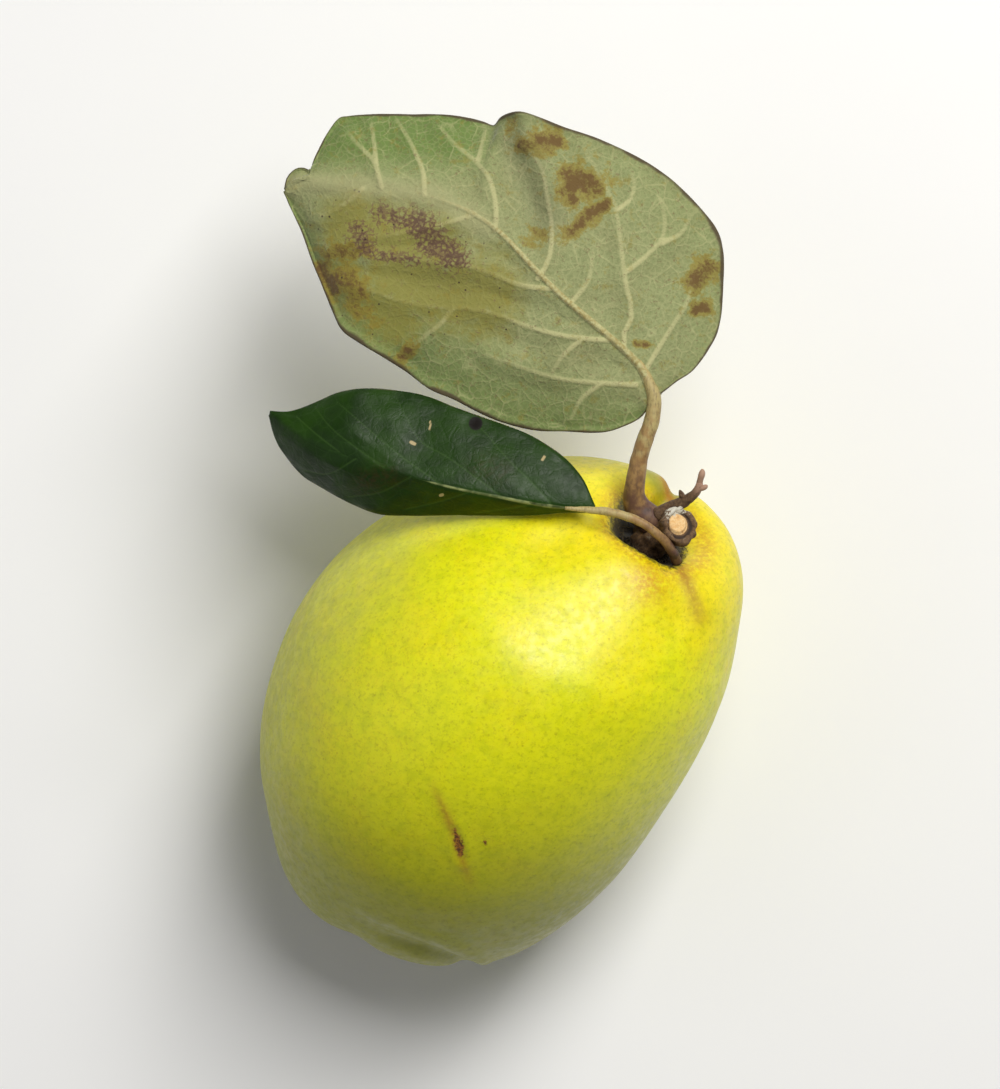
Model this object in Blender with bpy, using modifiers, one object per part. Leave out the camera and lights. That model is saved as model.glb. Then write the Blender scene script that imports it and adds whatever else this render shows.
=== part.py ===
"""A quince as picked, lying on its flank, with its woody spur, two leaves and dried calyx.

Run it with: blender --background --python part.py
+Z is up, and the origin is the middle of the small flat spot that the fruit rests on.
Sizes below are in millimetres. The build turns them into metres as it places each piece.
"""

import math

import bmesh
import bpy
import numpy as np
from mathutils import Matrix, Vector

MM = 0.001

# Pose: the fruit's axis runs from the calyx to the stalk.
AXIS_HEADING = math.radians(59)
AXIS_LIFT = math.radians(26)
HEART_HEIGHT = 39.0

# Fruit sections from the floor of the stalk cavity to the floor of the calyx basin:
# (place along the axis, drift to the left, half width, half depth on top, half depth under).
FRUIT_SECTIONS = [
    (44.5, -7.0, 0.0, 0.0, 0.0),
    (45.2, -7.0, 4.2, 4.0, 4.2),
    (48.6, -7.0, 6.6, 6.2, 6.6),
    (50.9, -7.0, 10.6, 10.0, 10.2),
    (49.6, -6.8, 15.2, 13.8, 14.4),
    (45.6, -5.6, 20.2, 19.0, 19.6),
    (38.5, -3.0, 26.2, 25.8, 28.2),
    (26.5, -0.2, 33.0, 33.2, 37.0),
    (15.0, 2.0, 36.5, 36.8, 41.2),
    (3.0, 3.0, 37.8, 38.0, 41.2),
    (-10.0, 2.7, 36.8, 37.2, 39.4),
    (-23.5, 2.0, 33.4, 33.8, 31.4),
    (-35.0, 1.0, 27.4, 26.6, 23.8),
    (-41.6, 0.4, 20.6, 19.6, 17.6),
    (-44.0, 0.0, 13.2, 13.0, 12.6),
    (-42.0, 0.0, 8.6, 8.6, 8.6),
    (-38.4, 0.0, 5.4, 5.4, 5.4),
    (-37.6, 0.0, 0.0, 0.0, 0.0),
]
FRUIT_SEGMENTS = 44
FRUIT_RINGS = 32
# The stalk end slopes, so that its far lip stands higher along the axis than its near lip.
STALK_END_SLOPE = 0.2
STALK_END_FROM = 28.0
STALK_END_FULL = 46.0

# Furrows pressed into the fruit, in its own axes: (start, end, depth, reach).
FRUIT_FURROWS = [
    ((-7.0, -4.0, 52.0), (-5.5, -21.0, 47.0), 1.5, 3.0),
    ((-9.0, 3.0, 50.0), (-19.0, 14.0, 43.0), 1.3, 3.6),
    ((-4.0, 3.0, 50.0), (8.0, 14.0, 43.0), 1.8, 4.4),
    ((29.0, -14.0, -34.0), (27.0, 12.0, -36.0), 0.8, 7.0),
    ((-4.0, 27.0, -36.5), (-17.5, 18.5, -37.5), 1.1, 2.4),
]
CALYX_RIBS = 5
CALYX_FURROW = (7.0, 21.0, 1.5, 4.0)  # from radius, to radius, depth, reach
CALYX_LEVEL = -42.5

# Sepals and stamens stand on the floor of the calyx basin.
SEPAL_LENGTH = 8.5
SEPAL_WIDTH = 3.7
SEPAL_THICKNESS = 0.5
SEPAL_ROOT_RADIUS = 3.4
SEPAL_SPREAD = math.radians(24)
SEPAL_CURL = math.radians(52)
STAMEN_DISC_RADIUS = 2.3
STAMEN_DISC_HEIGHT = 1.0
STAMEN_HEIGHT = 3.6
BASIN_FLOOR = -38.0
GAP = 0.35

# Wood of the spur and its bud twig: centre lines in the row frame, with a radius at each point.
SPUR = [
    (27.6, 32.0, 60.0, 3.2),
    (29.6, 33.2, 62.4, 2.8),
    (31.4, 34.1, 65.2, 2.7),
    (33.0, 34.8, 68.4, 3.1),
]
BUD_TWIG = [
    (31.6, 38.6, 64.9, 1.3),
    (32.2, 39.0, 66.2, 1.2),
    (34.4, 40.2, 67.6, 1.0),
    (35.8, 41.6, 68.6, 0.9),
    (36.5, 43.8, 69.6, 0.7),
]

# Leaf stalks: centre lines in the row frame from the spur to the blade, then along its midrib.
LARGE_PETIOLE = [
    (27.2, 36.0, 62.7, 1.9),
    (25.2, 37.8, 63.0, 2.1),
    (24.9, 40.2, 64.4, 1.8),
    (25.6, 46.4, 67.0, 1.45),
    (27.6, 53.0, 68.6, 1.3),
]
SMALL_PETIOLE = [
    (32.2, 28.9, 64.8, 0.9),
    (31.2, 30.8, 68.0, 0.85),
    (29.2, 33.2, 70.4, 0.85),
    (26.6, 35.2, 71.2, 0.8),
    (23.4, 36.7, 71.2, 0.8),
    (20.2, 37.5, 70.9, 0.8),
]

# Blades: midrib and margins in the row frame, from the base to the tip. Heights are above the floor.
LARGE_LEAF = {
    "midrib": [
        (27.8, 56.2, 68.9),
        (26.7, 61.4, 69.6),
        (21.1, 67.0, 70.6),
        (14.0, 73.5, 71.2),
        (6.5, 80.6, 71.0),
        (-1.0, 87.2, 70.0),
        (-11.0, 92.4, 68.2),
        (-24.0, 94.4, 65.6),
        (-36.4, 93.8, 62.4),
    ],
    "left": [
        (26.8, 55.9, 68.8),
        (23.0, 52.6, 67.8),
        (14.6, 51.0, 66.2),
        (3.9, 52.0, 64.6),
        (-6.5, 56.2, 64.4),
        (-15.0, 62.2, 64.8),
        (-25.4, 68.3, 65.0),
        (-31.0, 79.4, 63.0),
        (-36.8, 92.6, 62.0),
    ],
    "right": [
        (28.9, 56.3, 68.8),
        (36.2, 63.6, 66.8),
        (40.4, 78.4, 66.0),
        (37.0, 89.4, 65.8),
        (25.4, 99.8, 65.6),
        (8.0, 107.0, 65.4),
        (-4.0, 106.0, 61.4),
        (-26.6, 107.0, 57.6),
        (-35.4, 96.4, 61.6),
    ],
    "arch": 0.06,
}
SMALL_LEAF = {
    "midrib": [
        (17.4, 37.9, 70.6),
        (11.4, 38.8, 71.0),
        (4.9, 39.9, 71.2),
        (-1.6, 41.2, 71.0),
        (-8.1, 42.7, 70.4),
        (-14.6, 44.4, 69.2),
        (-21.1, 46.5, 67.4),
        (-30.0, 50.2, 64.4),
        (-39.6, 55.2, 60.4),
    ],
    "left": [
        (17.2, 36.9, 70.2),
        (12.0, 36.9, 68.6),
        (5.0, 36.8, 66.6),
        (-3.0, 36.6, 64.6),
        (-12.0, 36.5, 61.8),
        (-20.0, 37.4, 58.0),
        (-28.6, 41.0, 57.2),
        (-36.4, 47.2, 57.8),
        (-39.9, 54.6, 59.8),
    ],
    "right": [
        (17.3, 38.9, 70.4),
        (14.6, 43.7, 69.4),
        (9.6, 49.4, 67.8),
        (1.0, 53.2, 66.8),
        (-8.0, 56.8, 65.8),
        (-16.4, 59.0, 64.8),
        (-25.0, 58.9, 63.4),
        (-33.0, 56.2, 61.6),
        (-39.2, 55.7, 60.0),
    ],
    "arch": 0.07,
}
BLADE_THICKNESS = 0.5
BLADE_STEPS_ALONG = 20
BLADE_STEPS_ACROSS = 10
MIDRIB_RADII = (0.95, 0.35)

COLOURS = {
    "quince_skin": ((0.62, 0.6, 0.03, 1), 0.4),
    "bark": ((0.09, 0.05, 0.03, 1), 0.85),
    "leaf_underside": ((0.3, 0.38, 0.2, 1), 0.75),
    "leaf_upper": ((0.02, 0.09, 0.015, 1), 0.35),
    "dried_calyx": ((0.06, 0.035, 0.025, 1), 0.9),
}


def clear_scene():
    for item in list(bpy.data.objects):
        bpy.data.objects.remove(item, do_unlink=True)


def make_material(name):
    colour, roughness = COLOURS[name]
    material = bpy.data.materials.new(name)
    material.use_nodes = True
    shader = material.node_tree.nodes["Principled BSDF"]
    shader.inputs["Base Color"].default_value = colour
    shader.inputs["Roughness"].default_value = roughness
    shader.inputs["Metallic"].default_value = 0.0
    return material


def smooth_curve(points, shares):
    """Points at the given shares, 0 to 1, of the length of a smooth curve through the given ones."""
    points = np.array(points, float)
    shares = np.asarray(shares, float)
    steps = np.linalg.norm(np.diff(points, axis=0), axis=1)
    stops = np.concatenate([[0.0], np.cumsum(steps)]) / steps.sum()
    return hermite(points, stops, shares)


def even_curve(points, shares):
    """As smooth_curve, but the given points lie at even shares, so that curves of one leaf stay paired."""
    points = np.array(points, float)
    return hermite(points, np.linspace(0.0, 1.0, len(points)), np.asarray(shares, float))


def hermite(points, stops, shares):
    slopes = np.gradient(points, stops, axis=0)
    lower = np.clip(np.searchsorted(stops, shares) - 1, 0, len(points) - 2)
    width = (stops[lower + 1] - stops[lower])[:, None]
    t = (shares - stops[lower])[:, None] / width
    return (
        (2 * t**3 - 3 * t**2 + 1) * points[lower]
        + (t**3 - 2 * t**2 + t) * width * slopes[lower]
        + (3 * t**2 - 2 * t**3) * points[lower + 1]
        + (t**3 - t**2) * width * slopes[lower + 1]
    )


def smooth_step(value, low, high):
    share = min(1.0, max(0.0, (value - low) / (high - low)))
    return share * share * (3 - 2 * share)


def fruit_axes():
    """Carries the fruit's own axes, +X left, +Y top and +Z towards the stalk, into the row frame."""
    ahead = Vector((math.cos(AXIS_HEADING), math.sin(AXIS_HEADING), 0.0))
    left = Vector((-ahead.y, ahead.x, 0.0))
    axis = ahead * math.cos(AXIS_LIFT) + Vector((0, 0, math.sin(AXIS_LIFT)))
    top = axis.cross(left)
    turn = Matrix((left, top, axis)).transposed().to_4x4()
    return Matrix.Translation((0, 0, HEART_HEIGHT)) @ turn


def distance_to_segment(point, start, end):
    along = end - start
    share = min(1.0, max(0.0, (point - start).dot(along) / along.length_squared))
    return (point - start - along * share).length


def calyx_furrows():
    inner, outer, depth, reach = CALYX_FURROW
    for rib in range(CALYX_RIBS):
        angle = math.tau * (rib + 0.2) / CALYX_RIBS
        out = Vector((math.cos(angle), math.sin(angle), 0))
        level = Vector((0, 0, CALYX_LEVEL))
        yield out * inner + level, out * outer + level, depth, reach


def press_furrows(mesh):
    """Moves the skin inwards along its normal, most along the middle of each furrow."""
    furrows = [(Vector(a), Vector(b), depth, reach) for a, b, depth, reach in FRUIT_FURROWS]
    furrows += calyx_furrows()
    mesh.normal_update()
    moves = {}
    for vertex in mesh.verts:
        press = sum(
            depth * math.exp(-((distance_to_segment(vertex.co, a, b) / reach) ** 2))
            for a, b, depth, reach in furrows
        )
        moves[vertex] = vertex.normal * -press
    for vertex, move in moves.items():
        vertex.co += move


def make_fruit(collection, material):
    """A sphere drawn out over the fruit's sections, furrowed, laid down and cut flat where it rests."""
    mesh = bmesh.new()
    bmesh.ops.create_uvsphere(mesh, u_segments=FRUIT_SEGMENTS, v_segments=FRUIT_RINGS, radius=1.0)
    for vertex in mesh.verts:
        level = math.acos(max(-1.0, min(1.0, vertex.co.z))) / math.pi
        angle = math.atan2(vertex.co.y, vertex.co.x)
        along, drift, side, top, under = smooth_curve(FRUIT_SECTIONS, [level])[0]
        depth = top if vertex.co.y > 0 else under
        left = side * math.cos(angle) * (level not in (0.0, 1.0))
        up = depth * math.sin(angle)
        slope = STALK_END_SLOPE * smooth_step(along, STALK_END_FROM, STALK_END_FULL)
        vertex.co = Vector((drift + left, up, along - slope * up))
    press_furrows(mesh)
    mesh.transform(fruit_axes())
    everything = mesh.verts[:] + mesh.edges[:] + mesh.faces[:]
    cut = bmesh.ops.bisect_plane(
        mesh, geom=everything, plane_co=(0, 0, 0), plane_no=(0, 0, -1), clear_outer=True
    )
    rim = [item for item in cut["geom_cut"] if isinstance(item, bmesh.types.BMEdge)]
    bmesh.ops.holes_fill(mesh, edges=rim, sides=0)
    return add_mesh("fruit", mesh, collection, material)


def add_mesh(name, mesh, collection, material):
    """Writes a mesh in millimetres as an object in metres, shaded smooth."""
    mesh.transform(Matrix.Scale(MM, 4))
    bmesh.ops.recalc_face_normals(mesh, faces=mesh.faces)
    data = bpy.data.meshes.new(name)
    mesh.to_mesh(data)
    mesh.free()
    data.shade_smooth()
    data.set_sharp_from_angle(angle=math.radians(50))
    data.materials.append(material)
    made = bpy.data.objects.new(name, data)
    collection.objects.link(made)
    return made


def add_tube(name, route, collection, material, samples=9):
    """A round rod along a smooth route of (x, y, z, radius) points, as a mesh with welded caps."""
    curve = bpy.data.curves.new(name, "CURVE")
    curve.dimensions = "3D"
    curve.bevel_depth = MM
    curve.bevel_resolution = 2
    curve.use_fill_caps = True
    spline = curve.splines.new("POLY")
    spline.points.add(samples - 1)
    for point, place in zip(spline.points, smooth_curve(route, np.linspace(0, 1, samples))):
        point.co = (*(place[:3] * MM), 1.0)
        point.radius = place[3]
    rod = bpy.data.objects.new(name, curve)
    collection.objects.link(rod)
    graph = bpy.context.evaluated_depsgraph_get()
    data = bpy.data.meshes.new_from_object(rod.evaluated_get(graph))
    mesh = bmesh.new()
    mesh.from_mesh(data)
    bmesh.ops.remove_doubles(mesh, verts=mesh.verts, dist=0.01 * MM)
    mesh.transform(Matrix.Scale(1 / MM, 4))
    bpy.data.objects.remove(rod, do_unlink=True)
    return add_mesh(name, mesh, collection, material)


def join_solids(target, other):
    """Unites another solid with the target and hides the other. EXACT loses the blade of so thin a leaf."""
    union = target.modifiers.new("union", "BOOLEAN")
    union.operation = "UNION"
    union.solver = "MANIFOLD"
    union.object = other
    other.hide_render = True
    other.display_type = "WIRE"


def blade_mesh(leaf):
    """A grid laid between the midrib and the two margins. Each half arches up by a share of its width."""
    bpy.ops.mesh.primitive_grid_add(
        x_subdivisions=BLADE_STEPS_ALONG, y_subdivisions=BLADE_STEPS_ACROSS, size=2
    )
    grid = bpy.context.object
    mesh = bmesh.new()
    mesh.from_mesh(grid.data)
    bpy.data.objects.remove(grid, do_unlink=True)
    for vertex in mesh.verts:
        share = [(vertex.co.x + 1) / 2]
        out = abs(vertex.co.y)
        middle = even_curve(leaf["midrib"], share)[0]
        edge = even_curve(leaf["left" if vertex.co.y > 0 else "right"], share)[0]
        place = middle + (edge - middle) * out
        place[2] += 4 * leaf["arch"] * np.linalg.norm(edge - middle) * out * (1 - out)
        vertex.co = place
    return mesh


def make_leaf(name, leaf, petiole, parts, helpers, material):
    """A thin blade, united with one rod that is its stalk and then its midrib."""
    blade = add_mesh(name, blade_mesh(leaf), parts, material)
    thicken = blade.modifiers.new("thickness", "SOLIDIFY")
    thicken.thickness = BLADE_THICKNESS * MM
    thicken.offset = 0.0
    root, end = MIDRIB_RADII
    spine = even_curve(leaf["midrib"], np.linspace(0.08, 0.9, 6))
    radii = np.linspace(root, end, len(spine))
    route = list(petiole) + [(*place, radius) for place, radius in zip(spine, radii)]
    rib = add_tube(name + "_rib", route, helpers, material, samples=22)
    join_solids(blade, rib)
    return blade


def make_sepal(number, collection, material):
    """A pointed, curling scale. It starts as a flat strip, and bends outwards along its length."""
    bpy.ops.mesh.primitive_grid_add(x_subdivisions=7, y_subdivisions=4, size=2)
    strip = bpy.context.object
    mesh = bmesh.new()
    mesh.from_mesh(strip.data)
    bpy.data.objects.remove(strip, do_unlink=True)
    angle = math.tau * (number + 0.25) / CALYX_RIBS
    curl = SEPAL_CURL * (0.75 + 0.25 * math.cos(2.3 * number))
    for vertex in mesh.verts:
        share = (vertex.co.x + 1) / 2
        half = SEPAL_WIDTH / 2 * (0.12 + 0.88 * (1 - share) ** 0.7)
        lean = SEPAL_SPREAD + curl * share
        out = SEPAL_ROOT_RADIUS + SEPAL_LENGTH * share * math.sin((SEPAL_SPREAD + lean) / 2)
        rise = SEPAL_LENGTH * share * math.cos((SEPAL_SPREAD + lean) / 2)
        cup = 0.35 * vertex.co.y**2 * half
        vertex.co = Vector((out - cup, vertex.co.y * half, -rise))
    mesh.transform(Matrix.Rotation(angle, 4, "Z"))
    mesh.transform(Matrix.Translation((0, 0, BASIN_FLOOR - GAP - SEPAL_THICKNESS)))
    mesh.transform(fruit_axes())
    sepal = add_mesh(f"sepal_{number + 1}", mesh, collection, material)
    thicken = sepal.modifiers.new("thickness", "SOLIDIFY")
    thicken.thickness = SEPAL_THICKNESS * MM
    thicken.offset = 0.0
    return sepal


def make_stamen_tuft(collection, material):
    """A small disc whose rim carries a ring of dried stamens, on the floor of the calyx basin."""
    mesh = bmesh.new()
    bmesh.ops.create_cone(
        mesh,
        cap_ends=True,
        segments=18,
        radius1=STAMEN_DISC_RADIUS,
        radius2=STAMEN_DISC_RADIUS * 0.8,
        depth=STAMEN_DISC_HEIGHT,
    )
    crown = max(mesh.faces, key=lambda face: face.calc_center_median().z)
    ring = bmesh.ops.inset_region(mesh, faces=[crown], thickness=0.9)["faces"]
    ring.sort(key=lambda face: math.atan2(face.calc_center_median().y, face.calc_center_median().x))
    stamens = bmesh.ops.extrude_discrete_faces(mesh, faces=ring[::2])["faces"]
    for number, stamen in enumerate(stamens):
        middle = stamen.calc_center_median()
        lean = middle.normalized() * 0.5 * math.sin(2.1 * number)
        rise = Vector((0, 0, STAMEN_HEIGHT * (0.8 + 0.2 * math.cos(1.7 * number))))
        for corner in stamen.verts:
            corner.co = middle + (corner.co - middle) * 0.35 + rise + lean
    foot = BASIN_FLOOR - GAP - STAMEN_DISC_HEIGHT / 2
    mesh.transform(Matrix.Rotation(math.pi, 4, "X"))
    mesh.transform(Matrix.Translation((0, 0, foot)))
    mesh.transform(fruit_axes())
    return add_mesh("stamen_tuft", mesh, collection, material)


def main():
    clear_scene()
    parts = bpy.data.collections.new("quince")
    helpers = bpy.data.collections.new("helpers")
    bpy.context.scene.collection.children.link(parts)
    bpy.context.scene.collection.children.link(helpers)
    material = {name: make_material(name) for name in COLOURS}
    make_fruit(parts, material["quince_skin"])
    add_tube("spur", SPUR, parts, material["bark"])
    add_tube("bud_twig", BUD_TWIG, parts, material["bark"])
    make_leaf("large_leaf", LARGE_LEAF, LARGE_PETIOLE, parts, helpers, material["leaf_underside"])
    make_leaf("small_leaf", SMALL_LEAF, SMALL_PETIOLE, parts, helpers, material["leaf_upper"])
    for number in range(CALYX_RIBS):
        make_sepal(number, parts, material["dried_calyx"])
    make_stamen_tuft(parts, material["dried_calyx"])


main()
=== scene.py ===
"""Finished looks of a quince as picked: skin, wood, leaves and dried calyx, built round the packed frame.

The file is laid out as an add-on. It has settings, an operator for each kind of piece, a panel and a
main function, which builds every piece in turn. Lengths inside the functions are in millimetres, in the
frame's own axes, and each finished mesh is written in metres.
"""

import math

import bmesh
import bpy
import numpy as np
from bpy.props import FloatProperty, FloatVectorProperty, IntProperty, PointerProperty
from mathutils import Matrix, Vector, noise
from mathutils.bvhtree import BVHTree


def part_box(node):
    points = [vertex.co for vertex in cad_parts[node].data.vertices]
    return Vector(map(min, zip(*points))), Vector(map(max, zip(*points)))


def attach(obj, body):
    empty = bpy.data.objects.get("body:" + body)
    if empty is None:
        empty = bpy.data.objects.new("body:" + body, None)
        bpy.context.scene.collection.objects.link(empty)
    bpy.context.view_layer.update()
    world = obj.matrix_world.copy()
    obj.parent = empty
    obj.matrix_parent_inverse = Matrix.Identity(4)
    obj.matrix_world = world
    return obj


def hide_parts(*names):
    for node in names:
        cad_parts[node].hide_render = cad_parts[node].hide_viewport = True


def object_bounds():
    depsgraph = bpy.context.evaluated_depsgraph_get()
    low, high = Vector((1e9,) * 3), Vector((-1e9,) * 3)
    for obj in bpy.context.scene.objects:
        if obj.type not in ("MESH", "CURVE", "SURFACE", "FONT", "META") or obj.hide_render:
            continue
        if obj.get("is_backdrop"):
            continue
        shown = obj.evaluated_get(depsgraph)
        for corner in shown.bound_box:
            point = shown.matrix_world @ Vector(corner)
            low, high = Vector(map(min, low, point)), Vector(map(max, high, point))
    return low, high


bl_info = {
    "name": "Quince",
    "version": (1, 0, 0),
    "blender": (4, 5, 0),
    "location": "View3D > Sidebar > Quince",
    "description": "Builds a quince with its spur, leaves, bud twig and dried calyx",
    "category": "Add Mesh",
}

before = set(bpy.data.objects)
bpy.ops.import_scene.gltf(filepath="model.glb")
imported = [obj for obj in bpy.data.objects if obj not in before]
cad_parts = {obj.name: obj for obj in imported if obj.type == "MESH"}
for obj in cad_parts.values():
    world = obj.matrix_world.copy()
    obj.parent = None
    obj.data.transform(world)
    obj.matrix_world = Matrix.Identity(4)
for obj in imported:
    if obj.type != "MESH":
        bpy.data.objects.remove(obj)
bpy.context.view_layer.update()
MM = 0.001
STALK_FOOT_INSET = 3.0


# ---------------------------------------------------------------- places in the frame


def low_corner(node):
    """The lowest corner of a CAD node, in millimetres."""
    return np.array(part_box(node)[0]) / MM


def high_corner(node):
    """The highest corner of a CAD node, in millimetres."""
    return np.array(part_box(node)[1]) / MM


def middle_of(node):
    """The middle of a CAD node's box, in millimetres."""
    return (low_corner(node) + high_corner(node)) / 2


def stalk_foot():
    """The place on the floor of the stalk cavity that the spur stands on."""
    return low_corner("spur") + STALK_FOOT_INSET


def calyx_place():
    """The centre of the dried flower and the way it faces, out of the fruit."""
    way = middle_of("stamen_tuft") - middle_of("spur")
    return middle_of("stamen_tuft"), way / np.linalg.norm(way)


# ---------------------------------------------------------------- meshes


def start_clean():
    """Leaves edit mode and deselects everything, so that the next operator acts on its own piece only."""
    if bpy.context.object and bpy.context.object.mode != "OBJECT":
        bpy.ops.object.mode_set(mode="OBJECT")
    bpy.ops.object.select_all(action="DESELECT")


def pick(piece):
    """Makes the piece the only one selected, and the active one."""
    start_clean()
    piece.select_set(True)
    bpy.context.view_layer.objects.active = piece


def apply_modifiers(piece):
    """Applies every modifier of the piece, in order."""
    pick(piece)
    for modifier in list(piece.modifiers):
        bpy.ops.object.modifier_apply(modifier=modifier.name)


def subdivide_smoothly(piece, levels):
    """Subdivides the piece and rounds its form."""
    modifier = piece.modifiers.new("smooth form", "SUBSURF")
    modifier.levels = levels
    modifier.render_levels = levels
    apply_modifiers(piece)


def points_of(piece):
    """The piece's vertices in millimetres, a row each."""
    flat = np.empty(len(piece.data.vertices) * 3)
    piece.data.vertices.foreach_get("co", flat)
    return flat.reshape(-1, 3) / MM


def normals_of(piece):
    """The piece's vertex normals, a row each."""
    flat = np.empty(len(piece.data.vertices) * 3, np.float32)
    piece.data.vertices.foreach_get("normal", flat)
    return flat.reshape(-1, 3).astype(float)


def set_points(piece, points):
    """Moves the piece's vertices to these places. It stops on a place that isn't a number."""
    if not np.isfinite(points).all():
        raise ValueError(f"{piece.name} has a vertex with no place")
    piece.data.vertices.foreach_set("co", (points * MM).ravel())
    piece.data.update()


def paint(piece, name, values):
    """Keeps one number for each vertex, for the piece's material to read."""
    layer = piece.data.attributes.new(name, "FLOAT", "POINT")
    layer.data.foreach_set("value", np.asarray(values, np.float32))


def finish(piece, nodes, slot, *materials):
    """Shades the piece, gives it its materials, parents it to the root body and hides the CAD nodes it
    stands for.
    """
    pick(piece)
    bpy.ops.object.shade_smooth()
    piece.data.materials.clear()
    for material in materials:
        piece.data.materials.append(material)
    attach(piece, "root")
    if nodes:
        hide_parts(*nodes)


def copy_of_node(node, name):
    """A welded copy of a CAD node's mesh, back in four-sided faces where they were."""
    piece = bpy.data.objects.new(name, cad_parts[node].data.copy())
    bpy.context.scene.collection.objects.link(piece)
    pick(piece)
    bpy.ops.object.mode_set(mode="EDIT")
    bpy.ops.mesh.select_all(action="SELECT")
    bpy.ops.mesh.remove_doubles(threshold=0.002 * MM)
    bpy.ops.mesh.tris_convert_to_quads(face_threshold=math.radians(50), shape_threshold=math.radians(70))
    bpy.ops.mesh.mark_sharp(clear=True)
    bpy.ops.object.mode_set(mode="OBJECT")
    bpy.ops.mesh.customdata_custom_splitnormals_clear()
    return piece


def join(pieces, name):
    """Several closed pieces made one object, under a new name."""
    start_clean()
    for piece in pieces:
        piece.select_set(True)
    bpy.context.view_layer.objects.active = pieces[0]
    bpy.ops.object.join()
    pieces[0].name = name
    return pieces[0]


# ---------------------------------------------------------------- curves and distances


def hermite(points, stops, shares):
    """A smooth curve that passes each point at its stop, read at the given shares."""
    points = np.asarray(points, float)
    stops = np.asarray(stops, float)
    shares = np.asarray(shares, float)
    slopes = np.gradient(points, stops, axis=0)
    lower = np.clip(np.searchsorted(stops, shares) - 1, 0, len(points) - 2)
    width = (stops[lower + 1] - stops[lower])[:, None]
    t = (shares - stops[lower])[:, None] / width
    return (
        (2 * t**3 - 3 * t**2 + 1) * points[lower]
        + (t**3 - 2 * t**2 + t) * width * slopes[lower]
        + (3 * t**2 - 2 * t**3) * points[lower + 1]
        + (t**3 - t**2) * width * slopes[lower + 1]
    )


def smooth_route(points, steps):
    """The same number of steps along every route, evenly by length."""
    points = np.asarray(points, float)
    lengths = np.linalg.norm(np.diff(points, axis=0), axis=1)
    stops = np.concatenate([[0.0], np.cumsum(lengths)]) / lengths.sum()
    return hermite(points, stops, np.linspace(0, 1, steps))


def distance_to_route(points, route):
    """(distance, share along the route) of every point, to the nearest place of the route."""
    nearest = np.full(len(points), np.inf)
    share = np.zeros(len(points))
    lengths = np.linalg.norm(np.diff(route, axis=0), axis=1)
    done = 0.0
    for start, end, length in zip(route, route[1:], lengths):
        along = end - start
        t = np.clip((points - start) @ along / (along @ along), 0, 1)
        gap = np.linalg.norm(points - start - t[:, None] * along, axis=1)
        nearer = gap < nearest
        nearest[nearer] = gap[nearer]
        share[nearer] = (done + t[nearer] * length) / lengths.sum()
        done += length
    return nearest, np.clip(share, 0.0, 1.0)


def near(distance, reach):
    """1 on the spot, falling off smoothly over the reach."""
    return np.exp(-((distance / reach) ** 2))


def step(value, low, high):
    """A soft step from 0 at low to 1 at high. Low may be the larger of the two."""
    t = np.clip((value - low) / (high - low), 0, 1)
    return t * t * (3 - 2 * t)


def noise_at(points, size, seed):
    """Soft noise from about -1 to 1, with bumps about size millimetres across."""
    shift = Vector((seed * 3.17, seed * 1.93, seed * 2.71))
    return np.array([noise.noise(Vector(point) / size + shift) for point in points])


# ---------------------------------------------------------------- materials


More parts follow.
